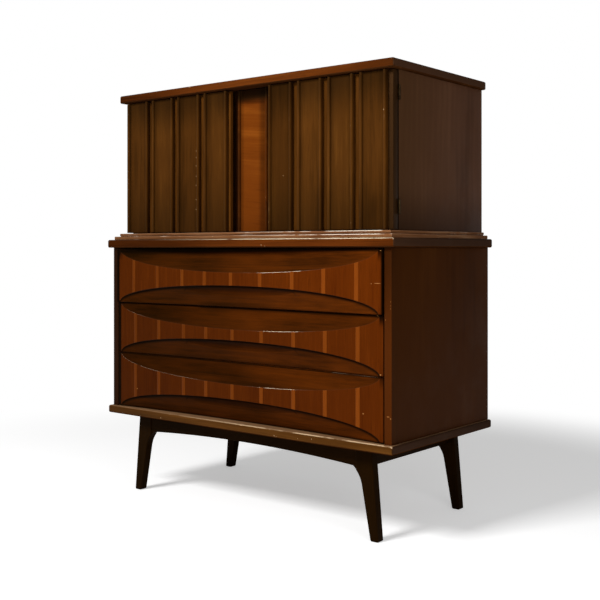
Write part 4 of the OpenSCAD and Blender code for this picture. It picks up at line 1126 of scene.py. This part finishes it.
# Floor, light and camera
studio = {
    "key": {"power": 160.0, "size": 1.2, "distance": 4.6, "azimuth": -10.0, "elevation": 39.0},
    "side": {"power": 9.0, "size": 1.0, "distance": 2.2, "azimuth": 58.0, "elevation": 6.0},
    "fill": 0.13, "aimHeight": 0.65,
    "floorHalf": 7.0, "floorColour": (0.98, 0.98, 0.98, 1), "floorLift": 0.43, "floorWhite": (1.1, 1.9),
    "lens": 59.42, "sensor": 36, "lensShift": -0.0848,
    "cameraAt": (1.7449, -2.1290, 0.6934), "cameraTurn": 38.84,
}


def whiteGlow(tree, kind, strength):
    return newNode(tree, kind, {"Color": (1, 1, 1, 1), "Strength": strength})[0]


def mixShaders(factor, first, second):
    return newNode(factor.id_data, "ShaderNodeMixShader", {0: factor, 1: first, 2: second})[0]


def studioFloor():
    half = studio["floorHalf"]
    mesh = bpy.data.meshes.new("floor")
    corners = [(-half, -half, 0), (half, -half, 0), (half, half, 0), (-half, half, 0)]
    mesh.from_pydata(corners, [], [(0, 1, 2, 3)])
    floor = newObject("floor", mesh)
    material, tree = newMaterial("Pale floor")[:2]
    tree.nodes.clear()
    paper = newNode(tree, "ShaderNodeBsdfDiffuse", {"Color": studio["floorColour"]})[0]
    path = newNode(tree, "ShaderNodeLightPath", {})
    seen = larger(path["Is Camera Ray"], path["Is Transmission Ray"])
    strengths = (0.0, studio["floorLift"], 1.0)
    none, lift, white = [whiteGlow(tree, "ShaderNodeEmission", strength) for strength in strengths]
    added = newNode(tree, "ShaderNodeAddShader", {0: paper, 1: mixShaders(seen, none, lift)})[0]
    away = lengthOf(coordsOf(tree))  # the floor is plain white away from the object
    fade = times(ramp(away, *studio["floorWhite"]), seen)
    newNode(tree, "ShaderNodeOutputMaterial", {"Surface": mixShaders(fade, added, white)})
    mesh.materials.append(material)


def studioWorld():
    world = bpy.data.worlds.new("Studio")
    bpy.context.scene.world = world
    world.use_nodes = True
    tree = world.node_tree
    tree.nodes.clear()
    # The room in front of the backdrop is dim
    behind = ramp(axes(coordsOf(tree, "Generated"))["Y"], 0.88, 1.15)
    path = newNode(tree, "ShaderNodeLightPath", {})
    seen = larger(path["Is Camera Ray"], times(path["Is Glossy Ray"], behind))
    seen = larger(seen, path["Is Transmission Ray"])
    fill, white = [whiteGlow(tree, "ShaderNodeBackground", strength) for strength in (studio["fill"], 1.0)]
    newNode(tree, "ShaderNodeOutputWorld", {"Surface": mixShaders(seen, fill, white)})


def softLight(name):
    place = studio[name]
    lamp = bpy.data.lights.new(name, "AREA")
    lamp.energy = place["power"]
    lamp.size = place["size"]
    light = newObject(name, lamp)
    azimuth, elevation = radians(place["azimuth"]), radians(place["elevation"])
    flat = place["distance"] * cos(elevation)
    height = studio["aimHeight"] + place["distance"] * sin(elevation)
    light.location = (flat * sin(azimuth), -flat * cos(azimuth), height)
    light.rotation_euler = (pi / 2 - elevation, 0, azimuth)


def photoCamera():
    data = bpy.data.cameras.new("Camera")
    setAll(data, {"lens": studio["lens"], "sensor_width": studio["sensor"], "shift_y": studio["lensShift"]})
    camera = newObject("Camera", data)
    camera.location = studio["cameraAt"]
    camera.rotation_euler = (radians(90), 0, radians(studio["cameraTurn"]))
    bpy.context.scene.camera = camera


studioFloor()
studioWorld()
softLight("key")
softLight("side")
photoCamera()
bpy.context.scene.view_settings.view_transform = "Standard"
print("Studio ready")
